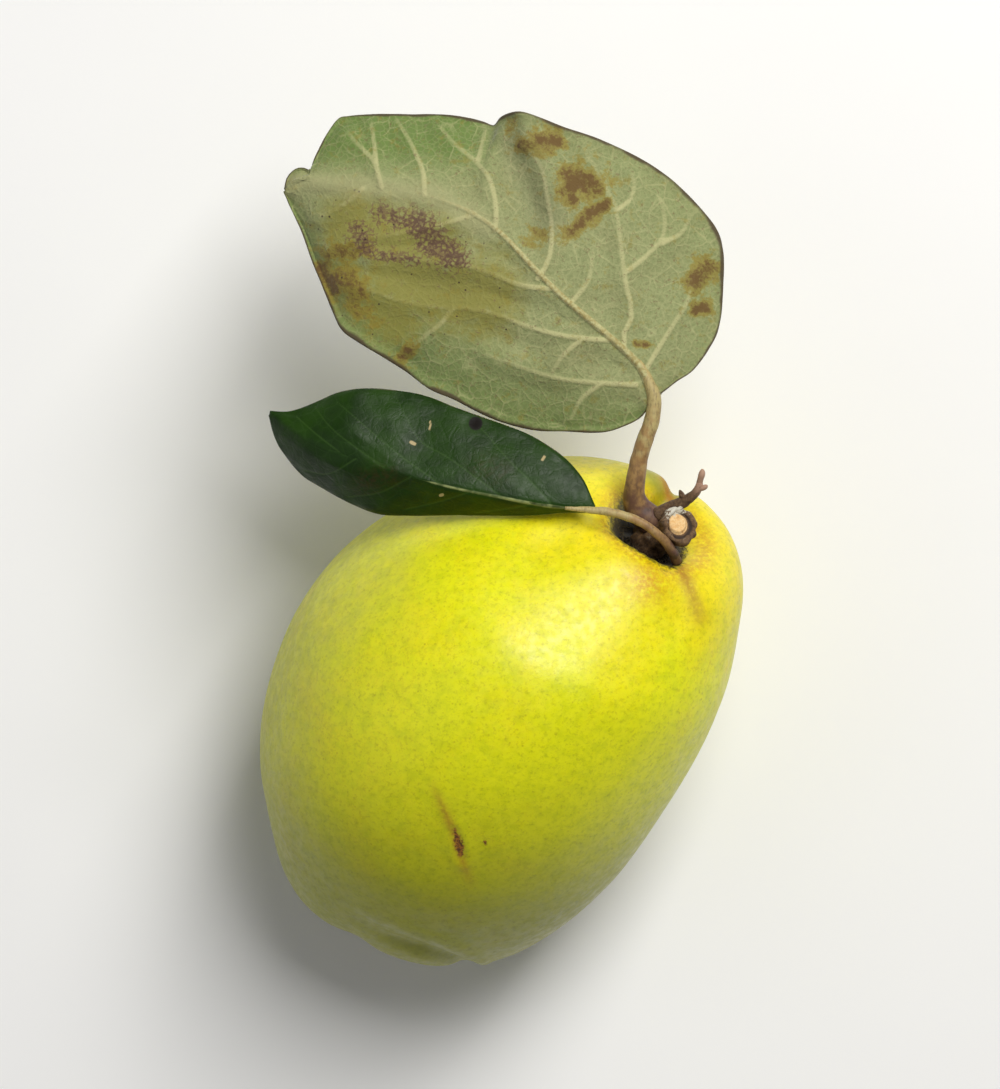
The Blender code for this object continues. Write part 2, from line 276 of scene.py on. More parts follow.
class Finish:
    """Builds one material's node tree. Sizes are in millimetres, and patterns stand in the frame."""

    def __init__(self, name, roughness, sheen=0.0):
        self.material = bpy.data.materials.new(name)
        self.material.use_nodes = True
        self.tree = self.material.node_tree
        self.shader = self.tree.nodes["Principled BSDF"]
        self.shader.inputs["Roughness"].default_value = roughness
        self.shader.inputs["Sheen Weight"].default_value = sheen
        self.shader.inputs["Sheen Roughness"].default_value = 0.45
        self.place = self.tree.nodes.new("ShaderNodeTexCoord").outputs["Object"]

    def add(self, kind, **settings):
        """A new node of the kind, with its settings."""
        node = self.tree.nodes.new("ShaderNode" + kind)
        for name, value in settings.items():
            setattr(node, name, value)
        return node

    def feed(self, socket, value):
        """Links an output to the socket, or sets the socket to a plain number or colour."""
        if isinstance(value, bpy.types.NodeSocket):
            self.tree.links.new(value, socket)
        elif hasattr(value, "__len__") and len(value) == 3 and socket.type == "RGBA":
            socket.default_value = (*value, 1.0)
        else:
            socket.default_value = value

    def attribute(self, name):
        """The numbers that were painted on the piece under this name."""
        return self.add("Attribute", attribute_name=name).outputs["Fac"]

    def math(self, operation, first, second=0.0):
        """The two values put together by the operation."""
        node = self.add("Math", operation=operation)
        self.feed(node.inputs[0], first)
        self.feed(node.inputs[1], second)
        return node.outputs[0]

    def noise(self, size, detail=2.0, seed=0.0, stretch=None, rough=0.5):
        """Noise from 0 to 1 with features about size across, longer along one axis where stretched."""
        node = self.add("TexNoise")
        node.inputs["Scale"].default_value = 1 / (size * MM)
        node.inputs["Detail"].default_value = detail
        node.inputs["Roughness"].default_value = rough
        mapping = self.add("Mapping")
        mapping.inputs["Location"].default_value = (seed, seed * 0.7, seed * 1.3)
        mapping.inputs["Scale"].default_value = stretch or (1, 1, 1)
        self.feed(mapping.inputs["Vector"], self.place)
        self.feed(node.inputs["Vector"], mapping.outputs[0])
        return node.outputs["Fac"]

    def cells(self, size, feature="F1", seed=0.0, bend=0.0):
        """Distance to the nearest point or edge of scattered cells, in shares of their size."""
        node = self.add("TexVoronoi", feature=feature)
        node.inputs["Scale"].default_value = 1 / (size * MM)
        place = self.place
        if bend:
            wobble = self.add("TexNoise")
            wobble.inputs["Scale"].default_value = 1 / (size * 1.3 * MM)
            self.feed(wobble.inputs["Vector"], self.place)
            shift = self.add("VectorMath", operation="MULTIPLY_ADD")
            self.feed(shift.inputs[0], wobble.outputs["Color"])
            self.feed(shift.inputs[1], (bend * MM, bend * MM, bend * MM))
            self.feed(shift.inputs[2], self.place)
            place = shift.outputs[0]
        mapping = self.add("Mapping")
        mapping.inputs["Location"].default_value = (seed, seed, seed)
        self.feed(mapping.inputs["Vector"], place)
        self.feed(node.inputs["Vector"], mapping.outputs[0])
        return node.outputs["Distance"]

    def span(self, value, low, high, start=0.0, end=1.0):
        """Maps low..high softly on to start..end, and holds it there outside."""
        node = self.add("MapRange", interpolation_type="SMOOTHSTEP")
        for socket, number in zip(node.inputs[1:5], (low, high, start, end)):
            socket.default_value = number
        self.feed(node.inputs[0], value)
        return node.outputs[0]

    def mix(self, share, first, second, blend="MIX"):
        """The first colour, going over to the second by the share."""
        node = self.add("Mix", data_type="RGBA", blend_type=blend)
        self.feed(node.inputs["Factor"], share)
        self.feed(node.inputs[6], first)
        self.feed(node.inputs[7], second)
        return node.outputs[2]

    def colour(self, value):
        """Gives the shader its colour."""
        self.feed(self.shader.inputs["Base Color"], value)

    def roughness(self, value):
        """Gives the shader its roughness."""
        self.feed(self.shader.inputs["Roughness"], value)

    def bump(self, *layers):
        """Layers of (height from 0 to 1, depth in millimetres), one on top of another."""
        below = None
        for height, depth in layers:
            node = self.add("Bump")
            node.inputs["Strength"].default_value = 1.0
            node.inputs["Distance"].default_value = depth * MM
            self.feed(node.inputs["Height"], height)
            if below:
                self.feed(node.inputs["Normal"], below)
            below = node.outputs[0]
        self.feed(self.shader.inputs["Normal"], below)


# ---------------------------------------------------------------- settings


def colour_property(name, description, default):
    """A setting that holds a colour."""
    return FloatVectorProperty(
        name=name, description=description, default=default, size=3, min=0, max=1, subtype="COLOR"
    )


def length_property(name, description, millimetres):
    """A setting that holds a length. Its default is given in millimetres."""
    return FloatProperty(
        name=name, description=description, default=millimetres * MM, unit="LENGTH", precision=5
    )


class FruitSettings(bpy.types.PropertyGroup):
    """Colours and relief of the fruit's skin."""

    ripe: colour_property("Ripe", "Skin on the side that ripened first", (0.88, 0.74, 0.004))
    green: colour_property("Green", "Skin on the side that is still green", (0.78, 0.79, 0.002))
    # Shaded is painted shade: a dark olive mixed into the skin on the lower side, towards the calyx end and
    # in the neck valley beside the stalk.
    shade: colour_property("Shaded", "Skin under the fruit and round the calyx", (0.21, 0.215, 0.003))
    russet: colour_property("Russet", "Corky marks round the stalk and in scars", (0.36, 0.16, 0.006))
    # Down: grey down round the calyx, and on the left side a pale haze that is partly down and partly a
    # painted sheen of the rim.
    down: colour_property("Down", "The grey down that is left on the skin", (0.42, 0.43, 0.085))
    lumps: length_property("Lumps", "Height of the soft lumps of the skin", 0.32)


class LeafSettings(bpy.types.PropertyGroup):
    """Colours and relief of the two leaves."""

    underside: colour_property("Underside", "Downy underside of a leaf", (0.27, 0.285, 0.12))
    vein: colour_property("Vein", "Veins on the underside", (0.5, 0.48, 0.23))
    upper: colour_property("Upper side", "Glossy upper side of a leaf", (0.007, 0.026, 0.001))
    blotch: colour_property("Blotch", "Brown spots of the ageing leaf", (0.125, 0.066, 0.014))
    thickness: length_property("Thickness", "Thickness of the blade", 0.36)
    vein_height: length_property("Vein height", "How far the side veins stand out", 0.28)


class WoodSettings(bpy.types.PropertyGroup):
    """Colours and size of the spur and its twig."""

    bark: colour_property("Bark", "Bark of the spur and the twig", (0.085, 0.045, 0.02))
    cut: colour_property("Cut wood", "Fresh wood of the cut end", (0.76, 0.45, 0.17))
    tan: colour_property("Leaf stalk", "Leaf stalks where they have turned to tan", (0.34, 0.2, 0.068))
    ridges: length_property("Ridges", "Depth of the bark's ridges", 0.16)


class CalyxSettings(bpy.types.PropertyGroup):
    """Colour and number of the dried flower parts."""

    dried: colour_property("Dried", "Dried sepals and stamens", (0.075, 0.04, 0.02))
    stamens: IntProperty(name="Stamens", description="Stamens in the ring", default=20, min=6, max=40)
    hairs: IntProperty(name="Hairs", description="Hairs of down in each tuft", default=260, min=0)


class StageSettings(bpy.types.PropertyGroup):
    """Camera and light."""

    distance: length_property("Distance", "From the floor to the camera", 1300.0)
    lens: FloatProperty(name="Lens", description="Focal length of the camera, in mm", default=232.0)
    key: FloatProperty(
        name="Key light", description="Power of the large soft light", default=9.6, unit="POWER"
    )
    sky: FloatProperty(
        name="Ambient light", description="Strength of the light from all round", default=0.16
    )
    floor: colour_property("Floor", "Colour of the plain floor", (0.93, 0.93, 0.925))


# ---------------------------------------------------------------- fruit

# Marks on the upper side of the skin, as (x, y) in millimetres.
SCAR = [(-6.8, -18.8), (-6.2, -20.6), (-5.6, -23.6)]
SCAR_STREAK = [(-10.6, -10.6), (-9.2, -13.8), (-7.2, -18.4), (-5.4, -24.4), (-4.0, -28.0)]
SCAR_DOT = (-1.6, -20.8)
RUSSET_STREAK = [(31.6, 30.0), (33.0, 27.0), (34.2, 24.2), (35.2, 21.6), (36.2, 18.6)]
STALK_STAIN = (27.4, 25.2)
VALLEY_STAIN = [(30.6, 43.6), (31.6, 42.0), (32.2, 39.6)]
NECK_FURROW = [(28.6, 36.0), (30.6, 39.0), (32.6, 41.4), (35.4, 44.4)]
CALYX_FOLD = [(-26.6, -33.6), (-21.3, -36.8), (-15.2, -39.8), (-12.2, -41.0), (-7.0, -43.4), (-4.0, -45.0)]
CALYX_SHOULDER = (-29.0, -31.0, 34.0)
# NECK_SHADE: the neck valley beside the stalk, darkened by painted shade.
NECK_SHADE = [(27.6, 44.8), (29.6, 42.0), (31.4, 38.8)]
RIPE_PATCH = (32.0, 36.0)
GREEN_PATCH = (22.0, -12.0)
# SHADED_WAY: painted shade darkens the skin towards the lower side along this way.
SHADED_WAY = np.array([0.15, 0.93, 0.33])


def press_scars(height, flat, on_top):
    """Presses the scar and its dot into the skin, with a low rim round the scar."""
    scar, _ = distance_to_route(flat, smooth_route(SCAR, 7))
    height -= on_top * 0.3 * near(scar, 0.7)
    height += on_top * 0.14 * near(scar - 1.5, 0.6)
    dot = np.linalg.norm(flat - SCAR_DOT, axis=1)
    height -= on_top * 0.2 * near(dot, 0.5)


def raise_stalk_ribs(height, points):
    """Raises the fine ribs round the stalk cavity."""
    out = points - stalk_foot()
    angle = np.arctan2(out[:, 1], out[:, 0])
    height += 0.16 * np.sin(11 * angle + 2 * noise_at(points, 5, 4)) * near(np.linalg.norm(out, axis=1), 7)


def press_folds(height, points):
    """Presses in the furrow of the neck and the fold above the calyx, and fills the shoulder beside it."""
    flat = points[:, :2]
    upper = step(points[:, 2], 26, 40)
    furrow, _ = distance_to_route(flat, smooth_route(NECK_FURROW, 8))
    height -= upper * 1.7 * near(furrow, 2.0)
    fold, share = distance_to_route(flat, smooth_route(CALYX_FOLD, 12))
    height -= upper * 1.9 * share * near(fold, 1.1)
    height += upper * 0.6 * share * near(fold - 2.6, 1.3)
    height += 1.9 * near(np.linalg.norm(points - CALYX_SHOULDER, axis=1), 13)


def raise_calyx_ribs(height, points):
    """Raises the five broad ribs round the calyx basin."""
    centre, way = calyx_place()
    out = points - centre
    side = np.cross(way, (0.0, 0.0, 1.0))
    turn = np.arctan2(out @ np.cross(side, way), out @ side)
    ribs = np.abs(np.sin(2.5 * turn + 0.5 * noise_at(points, 9, 8))) ** 0.7 - 0.6
    height += 0.9 * ribs * near(np.linalg.norm(out, axis=1) - 11, 7)


def fruit_relief(points, normals, settings):
    """Moves the skin out and in for its lumps, its scar and the ribs round its stalk."""
    lumps = 0.7 * noise_at(points, 17, 1) + 0.3 * noise_at(points, 7, 2)
    height = settings.lumps / MM * lumps + 0.015 * noise_at(points, 2.4, 3)
    press_scars(height, points[:, :2], normals[:, 2] > 0.1)
    raise_stalk_ribs(height, points)
    press_folds(height, points)
    raise_calyx_ribs(height, points)
    return points + normals * height[:, None]


def ripeness(points):
    """Riper at the upper right, greener at the lower right, with soft clouds."""
    flat = points[:, :2]
    patch = np.linalg.norm(flat - RIPE_PATCH, axis=1)
    lower_right = np.linalg.norm(flat - GREEN_PATCH, axis=1)
    return 0.34 + 0.66 * near(patch, 23) - 0.28 * near(lower_right, 22) + 0.12 * noise_at(points, 14, 5)


def down_and_rim_sheen(points, heart, calyx):
    """Grey down round the calyx, and on the left side a pale haze that is partly down and partly a painted
    sheen of the rim.
    """
    left_side = (heart[0] - points[:, 0]) * 0.72 + (points[:, 1] - heart[1]) * 0.35
    return step(left_side + 5 * noise_at(points, 12, 6), 14, 34) + 0.9 * near(calyx, 17)


def cavity_shade_depth(points, foot):
    """How far inside the stalk cavity each point lies, for the painted shade that darkens the cavity."""
    right_of_spur = 5 * step(points[:, 0], 31.5, 36)
    return step(foot + right_of_spur + 0.9 * noise_at(points, 3, 7), 11.5, 5.0)


def scar_marks(flat):
    """The scar, widest in its middle, and its dot."""
    scar, share = distance_to_route(flat, smooth_route(SCAR, 7))
    width = 0.35 + 0.55 * np.sin(math.pi * share)
    dot = np.linalg.norm(flat - SCAR_DOT, axis=1)
    return np.maximum(near(scar, width), near(dot, 0.5))


def russet_marks(flat, normals, on_top, calyx):
    """The corky streaks, the rubbed valley under the large leaf and the ring in the calyx basin."""
    streak, share = distance_to_route(flat, smooth_route(SCAR_STREAK, 12))
    russet = on_top * 0.74 * near(streak, 0.8) * np.sin(math.pi * np.clip(share, 0.02, 0.98)) ** 0.5
    line, share = distance_to_route(flat, smooth_route(RUSSET_STREAK, 10))
    russet = np.maximum(russet, on_top * 0.95 * near(line, 0.9 + 0.7 * share) * (1 - 0.5 * share))
    valley, _ = distance_to_route(flat, smooth_route(VALLEY_STAIN, 8))
    russet = np.maximum(russet, near(valley, 1.1) * step(normals[:, 2], -0.4, 0.1))
    return np.maximum(russet, 0.6 * near(calyx - 8.5, 3.0))


def fruit_marks(piece, points, normals):
    """Paints where the skin is ripe, where painted shade falls (lower side, neck valley, stalk cavity),
    where it is downy (with a painted sheen on the left rim), russet, scarred and stained.
    """
    flat = points[:, :2]
    on_top = step(normals[:, 2], 0.0, 0.3)
    raised = step(points[:, 2], 25, 35)
    heart = middle_of("fruit")
    calyx = np.linalg.norm(points - middle_of("stamen_tuft"), axis=1)
    foot = np.linalg.norm(points - stalk_foot(), axis=1)
    # Painted shade in the neck valley: olive is the painted shade beside the stalk, and valley the painted
    # shade along the neck furrow. Olive also weakens the stain there.
    beside_stalk, _ = distance_to_route(flat, smooth_route(NECK_SHADE, 8))
    olive = near(beside_stalk, 2.4) * raised
    valley, _ = distance_to_route(flat, smooth_route(NECK_FURROW, 8))
    # Painted shade: the skin is darker towards the lower side and the calyx end, along SHADED_WAY.
    shade = step((points - heart) @ SHADED_WAY, 6, -34)
    shade = np.maximum(shade, np.maximum(olive, near(valley, 2.6) * raised))
    stain = on_top * near(np.linalg.norm(flat - STALK_STAIN, axis=1), 4.2)
    stain = np.maximum(stain, 0.8 * near(foot - 9.5, 2.6)) * (1 - 0.8 * olive)
    for name, values in (
        ("ripe", ripeness(points)), ("shade", shade), ("down", down_and_rim_sheen(points, heart, calyx)),
        ("cavity_shade", cavity_shade_depth(points, foot)), ("mark", on_top * scar_marks(flat)),
        ("russet", russet_marks(flat, normals, on_top, calyx)), ("stain", stain),
    ):
        paint(piece, name, np.clip(values, 0, 1))


def skin_tones(f, settings):
    """Ripe and green skin, painted shade on the lower side and in the neck valley, and the mottling. Returns
    the colour and the pores.
    """
    cloud = f.noise(9, 3)
    pores = f.noise(0.75, 3, seed=2, rough=0.65)
    freckle = f.cells(2.3, seed=1)
    ripe = f.math("ADD", f.attribute("ripe"), f.span(cloud, 0.3, 0.7, -0.16, 0.16))
    ripe = f.math("ADD", ripe, f.span(pores, 0.35, 0.65, -0.07, 0.07))
    skin = f.mix(f.span(ripe, 0.15, 0.95), settings.green, settings.ripe)
    # Painted shade: the shade mask mixes the skin towards the dark Shaded colour.
    skin = f.mix(f.math("MULTIPLY", f.attribute("shade"), 0.78), skin, settings.shade)
    fine = f.noise(1.7, 4, seed=5, rough=0.7)
    skin = f.mix(f.span(fine, 0.42, 0.68), skin, (0.86, 0.89, 0.6), "MULTIPLY")
    skin = f.mix(f.span(f.noise(3.4, 3, seed=8), 0.45, 0.7), skin, (0.92, 0.94, 0.7), "MULTIPLY")
    skin = f.mix(f.span(pores, 0.5, 0.72), skin, (0.8, 0.82, 0.6), "MULTIPLY")
    skin = f.mix(f.span(freckle, 0.12, 0.04), skin, (0.8, 0.76, 0.5), "MULTIPLY")
    return skin, pores


def skin_marks(f, skin, settings, grain):
    """Stains, russet, scars and the painted shade of the stalk cavity over the skin. Returns the colour and
    the russet.
    """
    stain = f.math("MULTIPLY", f.attribute("stain"), f.span(grain, 0.28, 0.6, 0.1, 1.0))
    skin = f.mix(stain, skin, (0.62, 0.34, 0.002))
    russet = f.math("MULTIPLY", f.attribute("russet"), f.span(grain, 0.25, 0.55, 0.45, 1.0))
    skin = f.mix(russet, skin, settings.russet)
    mark = f.span(f.math("ADD", f.attribute("mark"), f.span(grain, 0.3, 0.7, -0.32, 0.24)), 0.26, 0.74)
    scar = f.mix(f.span(f.noise(0.5, 2), 0.4, 0.6), (0.1, 0.034, 0.006), (0.34, 0.13, 0.012))
    skin = f.mix(mark, skin, scar)
    # Painted shade: the stalk cavity darkens over its own brown to near black towards its floor.
    cavity_shade = f.math("ADD", f.attribute("cavity_shade"), f.span(grain, 0.3, 0.7, -0.2, 0.2))
    skin = f.mix(f.span(cavity_shade, 0.08, 0.45), skin, (0.3, 0.25, 0.006))
    skin = f.mix(f.span(cavity_shade, 0.34, 0.66), skin, (0.06, 0.04, 0.006))
    skin = f.mix(f.span(cavity_shade, 0.55, 0.95), skin, (0.008, 0.005, 0.003))
    return skin, russet


def skin_finish(settings):
    """Waxy skin: ripe and green areas, painted shade, fine pores, down on one side with a painted sheen, and
    corky marks.
    """
    f = Finish("quince skin", 0.4, sheen=0.03)
    skin, pores = skin_tones(f, settings)
    # The down mask: real down round the calyx, and on the left side partly down and partly a painted sheen
    # of the rim.
    down = f.math("MULTIPLY", f.attribute("down"), f.span(f.noise(2.2, 4, seed=3), 0.25, 0.7, 0.45, 1.0))
    skin = f.mix(f.math("MULTIPLY", down, 0.62), skin, settings.down)
    grain = f.noise(0.8, 3, seed=7, rough=0.7)
    skin, russet = skin_marks(f, skin, settings, grain)
    f.colour(skin)
    rough = f.span(f.noise(1.6, 3, seed=9), 0.3, 0.7, 0.34, 0.5)
    rough = f.math("ADD", rough, f.math("MULTIPLY", down, 0.2))
    f.roughness(f.math("ADD", rough, f.math("MULTIPLY", russet, 0.3)))
    f.bump(
        (f.noise(5, 3, seed=4), 0.1),
        (f.noise(1.3, 4, seed=6, rough=0.7), 0.03),
        (pores, 0.014),
        (f.math("MULTIPLY", russet, grain), 0.12),
    )
    return f.material


class QUINCE_OT_fruit(bpy.types.Operator):
    """Makes the fruit: the CAD form, subdivided, with lumps, scars and ribs in its skin."""

    bl_idname = "quince.fruit"
    bl_label = "Fruit"

    def execute(self, context):
        settings = context.scene.quince_fruit
        piece = copy_of_node("fruit", "quince_fruit")
        subdivide_smoothly(piece, 3)
        points = points_of(piece)
        fruit_marks(piece, points, normals_of(piece))
        points = fruit_relief(points, normals_of(piece), settings)
        points[:, 2] = np.maximum(points[:, 2], 0.0)
        set_points(piece, points)
        finish(piece, ["fruit"], "quince_skin", skin_finish(settings))
        return {"FINISHED"}


# ---------------------------------------------------------------- leaves

# Each leaf lies in millimetres from the low corner of its CAD node. A margin's point is (share of the way
# from base to tip, x, y, height), and a midrib's the same. Veins are (x, y), from the midrib outwards.
LARGE_LEAF = {
    "node": "large_leaf",
    "past_foot": (0.0, 1.555, 0.0),
    "fade": lambda share: 0.45 * step(share, 0.55, 0.8),
    "midrib": [
        (0.00, 64.9, 20.0, 11.2), (0.05, 64.0, 23.2, 11.6), (0.10, 62.6, 26.2, 11.9),
        (0.17, 58.6, 30.2, 12.4), (0.25, 54.2, 34.0, 12.8), (0.34, 48.8, 38.6, 13.2),
        (0.43, 43.4, 44.1, 13.4), (0.51, 38.6, 49.2, 13.2), (0.59, 33.4, 53.0, 12.8),
        (0.67, 26.4, 55.8, 12.2), (0.77, 17.4, 57.4, 11.2), (0.87, 8.6, 58.2, 9.4),
        (0.95, 2.8, 58.6, 7.4), (1.00, 0.3, 57.0, 6.2),
    ],
    "left": [
        (0.00, 64.2, 19.2, 11.0), (0.04, 62.8, 17.4, 10.4), (0.10, 60.0, 15.8, 9.8),
        (0.17, 56.0, 14.7, 8.8), (0.25, 49.6, 14.9, 7.4), (0.33, 43.8, 15.2, 6.6),
        (0.41, 36.6, 17.2, 6.4), (0.48, 30.2, 20.4, 6.6), (0.55, 25.6, 22.4, 6.4),
        (0.61, 21.6, 25.4, 6.2), (0.67, 17.6, 27.9, 6.8), (0.72, 12.8, 30.8, 7.4),
        (0.76, 10.4, 32.6, 7.2), (0.81, 8.5, 36.4, 6.4), (0.86, 6.9, 40.3, 5.8),
        (0.90, 4.9, 45.2, 5.4), (0.94, 3.0, 50.4, 5.4), (0.97, 1.2, 54.2, 5.6), (1.00, 0.0, 57.2, 6.1),
    ],
    "right": [
        (0, 65.4, 20.8, 11.0), (0.035, 68.8, 23.4, 10.2), (0.075, 72.0, 25.6, 9.6),
        (0.12, 75.4, 30.4, 9.0), (0.165, 76.7, 34.0, 8.8), (0.215, 77.3, 40.0, 8.4),
        (0.265, 77.3, 46.4, 8.2), (0.3, 76.4, 49.9, 8.2), (0.345, 73.2, 54.2, 8.4),
        (0.39, 68.0, 59.3, 8.8), (0.435, 61.6, 63.4, 9.0), (0.47, 55.2, 66.3, 9.0),
        (0.505, 49.4, 68.3, 9.2), (0.54, 44.7, 70.1, 9.4), (0.565, 41.0, 71.0, 9.8),
        (0.585, 38.3, 70.2, 9.4), (0.6, 37.0, 68.8, 7.8), (0.612, 35.4, 69.4, 6.2),
        (0.655, 31.0, 70.4, 5.4), (0.745, 22.0, 70.8, 4.8), (0.838, 11.2, 70.5, 4.3),
        (0.85, 9.9, 70.3, 4.2), (0.857, 9.3, 69.8, 4.3),
        (0.87, 8.5, 68.8, 4.6), (0.905, 6.3, 65.0, 5.4), (0.94, 5.1, 61.8, 6.0),
        (0.953, 5.0, 60.7, 6.4), (0.965, 3.6, 61.3, 6.4), (0.98, 1.8, 61.0, 6.2),
        (0.99, 0.6, 59.6, 6.2), (1, 0.1, 57.6, 6.2),
    ],
    "veins": [
        [(63.2, 24.9), (64.9, 27.9), (68.1, 33.1), (71.0, 37.9), (72.0, 42.8)],
        [(59.8, 29.2), (59.8, 32.1), (61.0, 34.4), (60.0, 40.9), (59.0, 49.3), (58.3, 54.0), (55.4, 59.8),
         (52.8, 64.6)],
        [(60.3, 42.8), (64.2, 46.1), (66.5, 48.8), (66.8, 53.2), (65.8, 56.4)],
        [(66.5, 47.8), (70.1, 50.0), (71.4, 52.8)],
        [(58.4, 53.5), (60.6, 55.2), (61.6, 57.8), (61.0, 60.6)],
        [(44.7, 41.6), (46.4, 44.4), (47.2, 50.4), (46.3, 56.5), (45.4, 61.1), (42.8, 64.4), (38.8, 66.4)],
        [(37.2, 50.0), (37.4, 52.6), (36.9, 56.6), (35.8, 59.8), (33.6, 62.4), (30.4, 65.0), (27.4, 68.6)],
        [(34.2, 61.9), (34.9, 65.0), (35.4, 67.8)],
        [(24.9, 56.2), (24.5, 60.5), (23.2, 63.7), (21.9, 66.4), (19.8, 69.8)],
        [(17.4, 57.6), (15.8, 62.4), (13.4, 65.0), (11.4, 67.2)],
        [(16.4, 61.4), (16.0, 65.0), (15.4, 69.2)],
        [(61.9, 23.0), (56.3, 23.3), (48.0, 24.3), (41.5, 26.3), (35.6, 28.4)],
        [(57.0, 30.8), (51.0, 31.3), (45.4, 32.5), (41.5, 33.8), (36.2, 35.8), (31.6, 36.5), (27.1, 36.7),
         (22.0, 37.4), (16.0, 39.4), (10.2, 41.0)],
        [(29.8, 36.5), (27.7, 33.8), (25.1, 31.8), (22.6, 29.8)],
        [(46.8, 39.8), (41.5, 40.5), (36.2, 42.6), (32.2, 43.9), (28.4, 44.2), (23.8, 44.9), (16.0, 45.5)],
        [(33.6, 52.8), (28.4, 51.2), (21.0, 49.6), (13.0, 48.6), (8.0, 46.8)],
        [(14.0, 57.4), (10.6, 54.6), (6.4, 52.6)],
        [(52.6, 31.2), (49.0, 28.0), (46.8, 24.6)],
        [(50.4, 37.2), (53.4, 41.0), (54.4, 46.6)],
        [(56.0, 23.4), (52.4, 20.6), (50.6, 17.2)],
    ],
    "wave": [((37.0, 70.0), (44.0, 52.0), -2.2, 4.2), ((41.6, 71.0), (43.0, 66.0), 1.5, 2.2),
             ((3.0, 59.2), (20.0, 58.0), 1.0, 2.6), ((20.0, 58.0), (35.0, 51.0), 0.9, 3.0),
             ((24.0, 40.0), (42.0, 33.0), -0.6, 5.0), ((66.0, 62.0), (58.0, 40.0), 0.6, 5.0)],
}
SMALL_LEAF = {
    "node": "small_leaf",
    "past_foot": (0.0, 0.0, 0.0),
    "fade": lambda share: 0.22 - 0.22 * step(share, 0.06, 0.12) * step(share, 0.52, 0.46),
    "midrib": [
        (0.00, 57.6, 9.5, 13.4), (0.08, 53.2, 9.7, 13.9), (0.17, 48.0, 10.3, 14.1),
        (0.28, 41.4, 11.6, 14.2), (0.40, 34.2, 13.0, 13.8), (0.52, 27.0, 14.8, 13.0),
        (0.64, 20.0, 17.0, 11.8), (0.76, 13.0, 19.4, 9.8), (0.88, 6.4, 22.4, 7.0), (1.00, 0.6, 26.6, 3.2),
    ],
    "left": [
        (0.00, 57.4, 9.0, 13.2), (0.08, 52.4, 9.0, 12.6), (0.17, 47.6, 8.6, 11.4),
        (0.28, 41.4, 8.5, 9.8), (0.40, 33.4, 8.6, 8.2), (0.52, 25.4, 8.5, 6.2), (0.62, 19.4, 8.9, 4.8),
        (0.71, 14.4, 10.9, 3.2), (0.79, 10.0, 13.3, 2.0), (0.86, 6.2, 15.7, 1.4), (0.92, 3.5, 18.9, 1.2),
        (0.97, 1.6, 22.2, 1.6), (1.00, 0.5, 26.1, 2.9),
    ],
    "right": [
        (0.00, 57.8, 10.0, 13.3), (0.04, 57.2, 11.4, 13.1), (0.10, 55.8, 14.6, 12.4),
        (0.16, 53.4, 17.6, 11.6), (0.23, 50.2, 20.2, 10.9), (0.30, 46.2, 22.6, 10.2),
        (0.37, 41.6, 24.4, 9.6), (0.44, 37.6, 25.8, 9.2), (0.51, 33.0, 27.5, 9.0),
        (0.58, 28.4, 29.3, 8.6), (0.65, 23.4, 30.3, 7.8), (0.72, 18.2, 30.7, 6.6),
        (0.79, 13.4, 30.2, 5.6), (0.86, 9.6, 28.7, 5.0), (0.92, 5.6, 27.1, 4.4), (0.97, 2.8, 26.6, 3.6),
        (1.00, 0.6, 26.8, 3.2),
    ],
    "veins": [
        [(50.0, 10.6), (46.8, 14.1), (42.4, 18.4), (39.2, 22.2), (36.6, 25.0)],
        [(41.6, 11.6), (35.4, 16.2), (31.4, 19.0), (27.2, 21.4), (24.8, 25.6), (23.0, 29.0)],
        [(31.0, 13.8), (25.4, 17.6), (20.4, 21.6), (16.4, 25.0), (12.6, 28.4)],
        [(21.0, 16.8), (15.6, 20.6), (11.0, 24.4), (8.6, 27.6)],
        [(13.0, 19.6), (8.6, 23.0), (5.4, 25.8)],
        [(47.0, 10.4), (42.0, 9.6), (37.0, 9.0)],
        [(36.0, 12.6), (30.0, 10.8), (24.6, 9.6)],
        [(25.6, 15.2), (19.6, 12.4), (14.4, 11.8)],
        [(16.0, 18.4), (10.6, 15.8), (6.6, 16.6)],
    ],
    "wave": [((13.0, 18.0), (15.0, 30.0), 1.2, 4.4), ((27.0, 16.0), (28.0, 29.0), -0.9, 5.0)],
}

# Blotches of the large leaf: (from, to, reach, strength), and those of the small one.
LARGE_BROWN = [
    ((45.4, 65.6), (47.8, 66.2), 1.8, 1.0), ((42.4, 64.8), (45.0, 65.0), 1.3, 0.8),
    ((51.0, 59.0), (54.0, 57.8), 2.5, 1.0), ((49.0, 56.8), (51.0, 55.4), 1.3, 0.8),
    ((50.2, 49.4), (52.4, 51.4), 1.1, 1.0), ((53.0, 52.2), (56.4, 54.6), 1.2, 0.9),
    ((44.0, 49.2), (45.0, 49.8), 1.5, 0.45), ((72.0, 41.2), (74.4, 43.2), 1.8, 1.0),
    ((72.8, 36.3), (74.2, 36.6), 1.3, 0.9), ((61.8, 30.2), (63.8, 30.0), 0.6, 0.8),
    ((21.0, 28.2), (22.2, 29.4), 1.3, 0.75), ((6.6, 43.2), (8.6, 40.4), 1.7, 0.95),
    ((9.6, 42.0), (13.0, 40.0), 1.9, 0.75), ((7.8, 46.0), (13.6, 46.6), 1.4, 0.6),
    ((40.0, 67.8), (40.6, 68.6), 1.2, 0.35), ((15.4, 35.0), (12.0, 37.6), 1.6, 0.45),
]
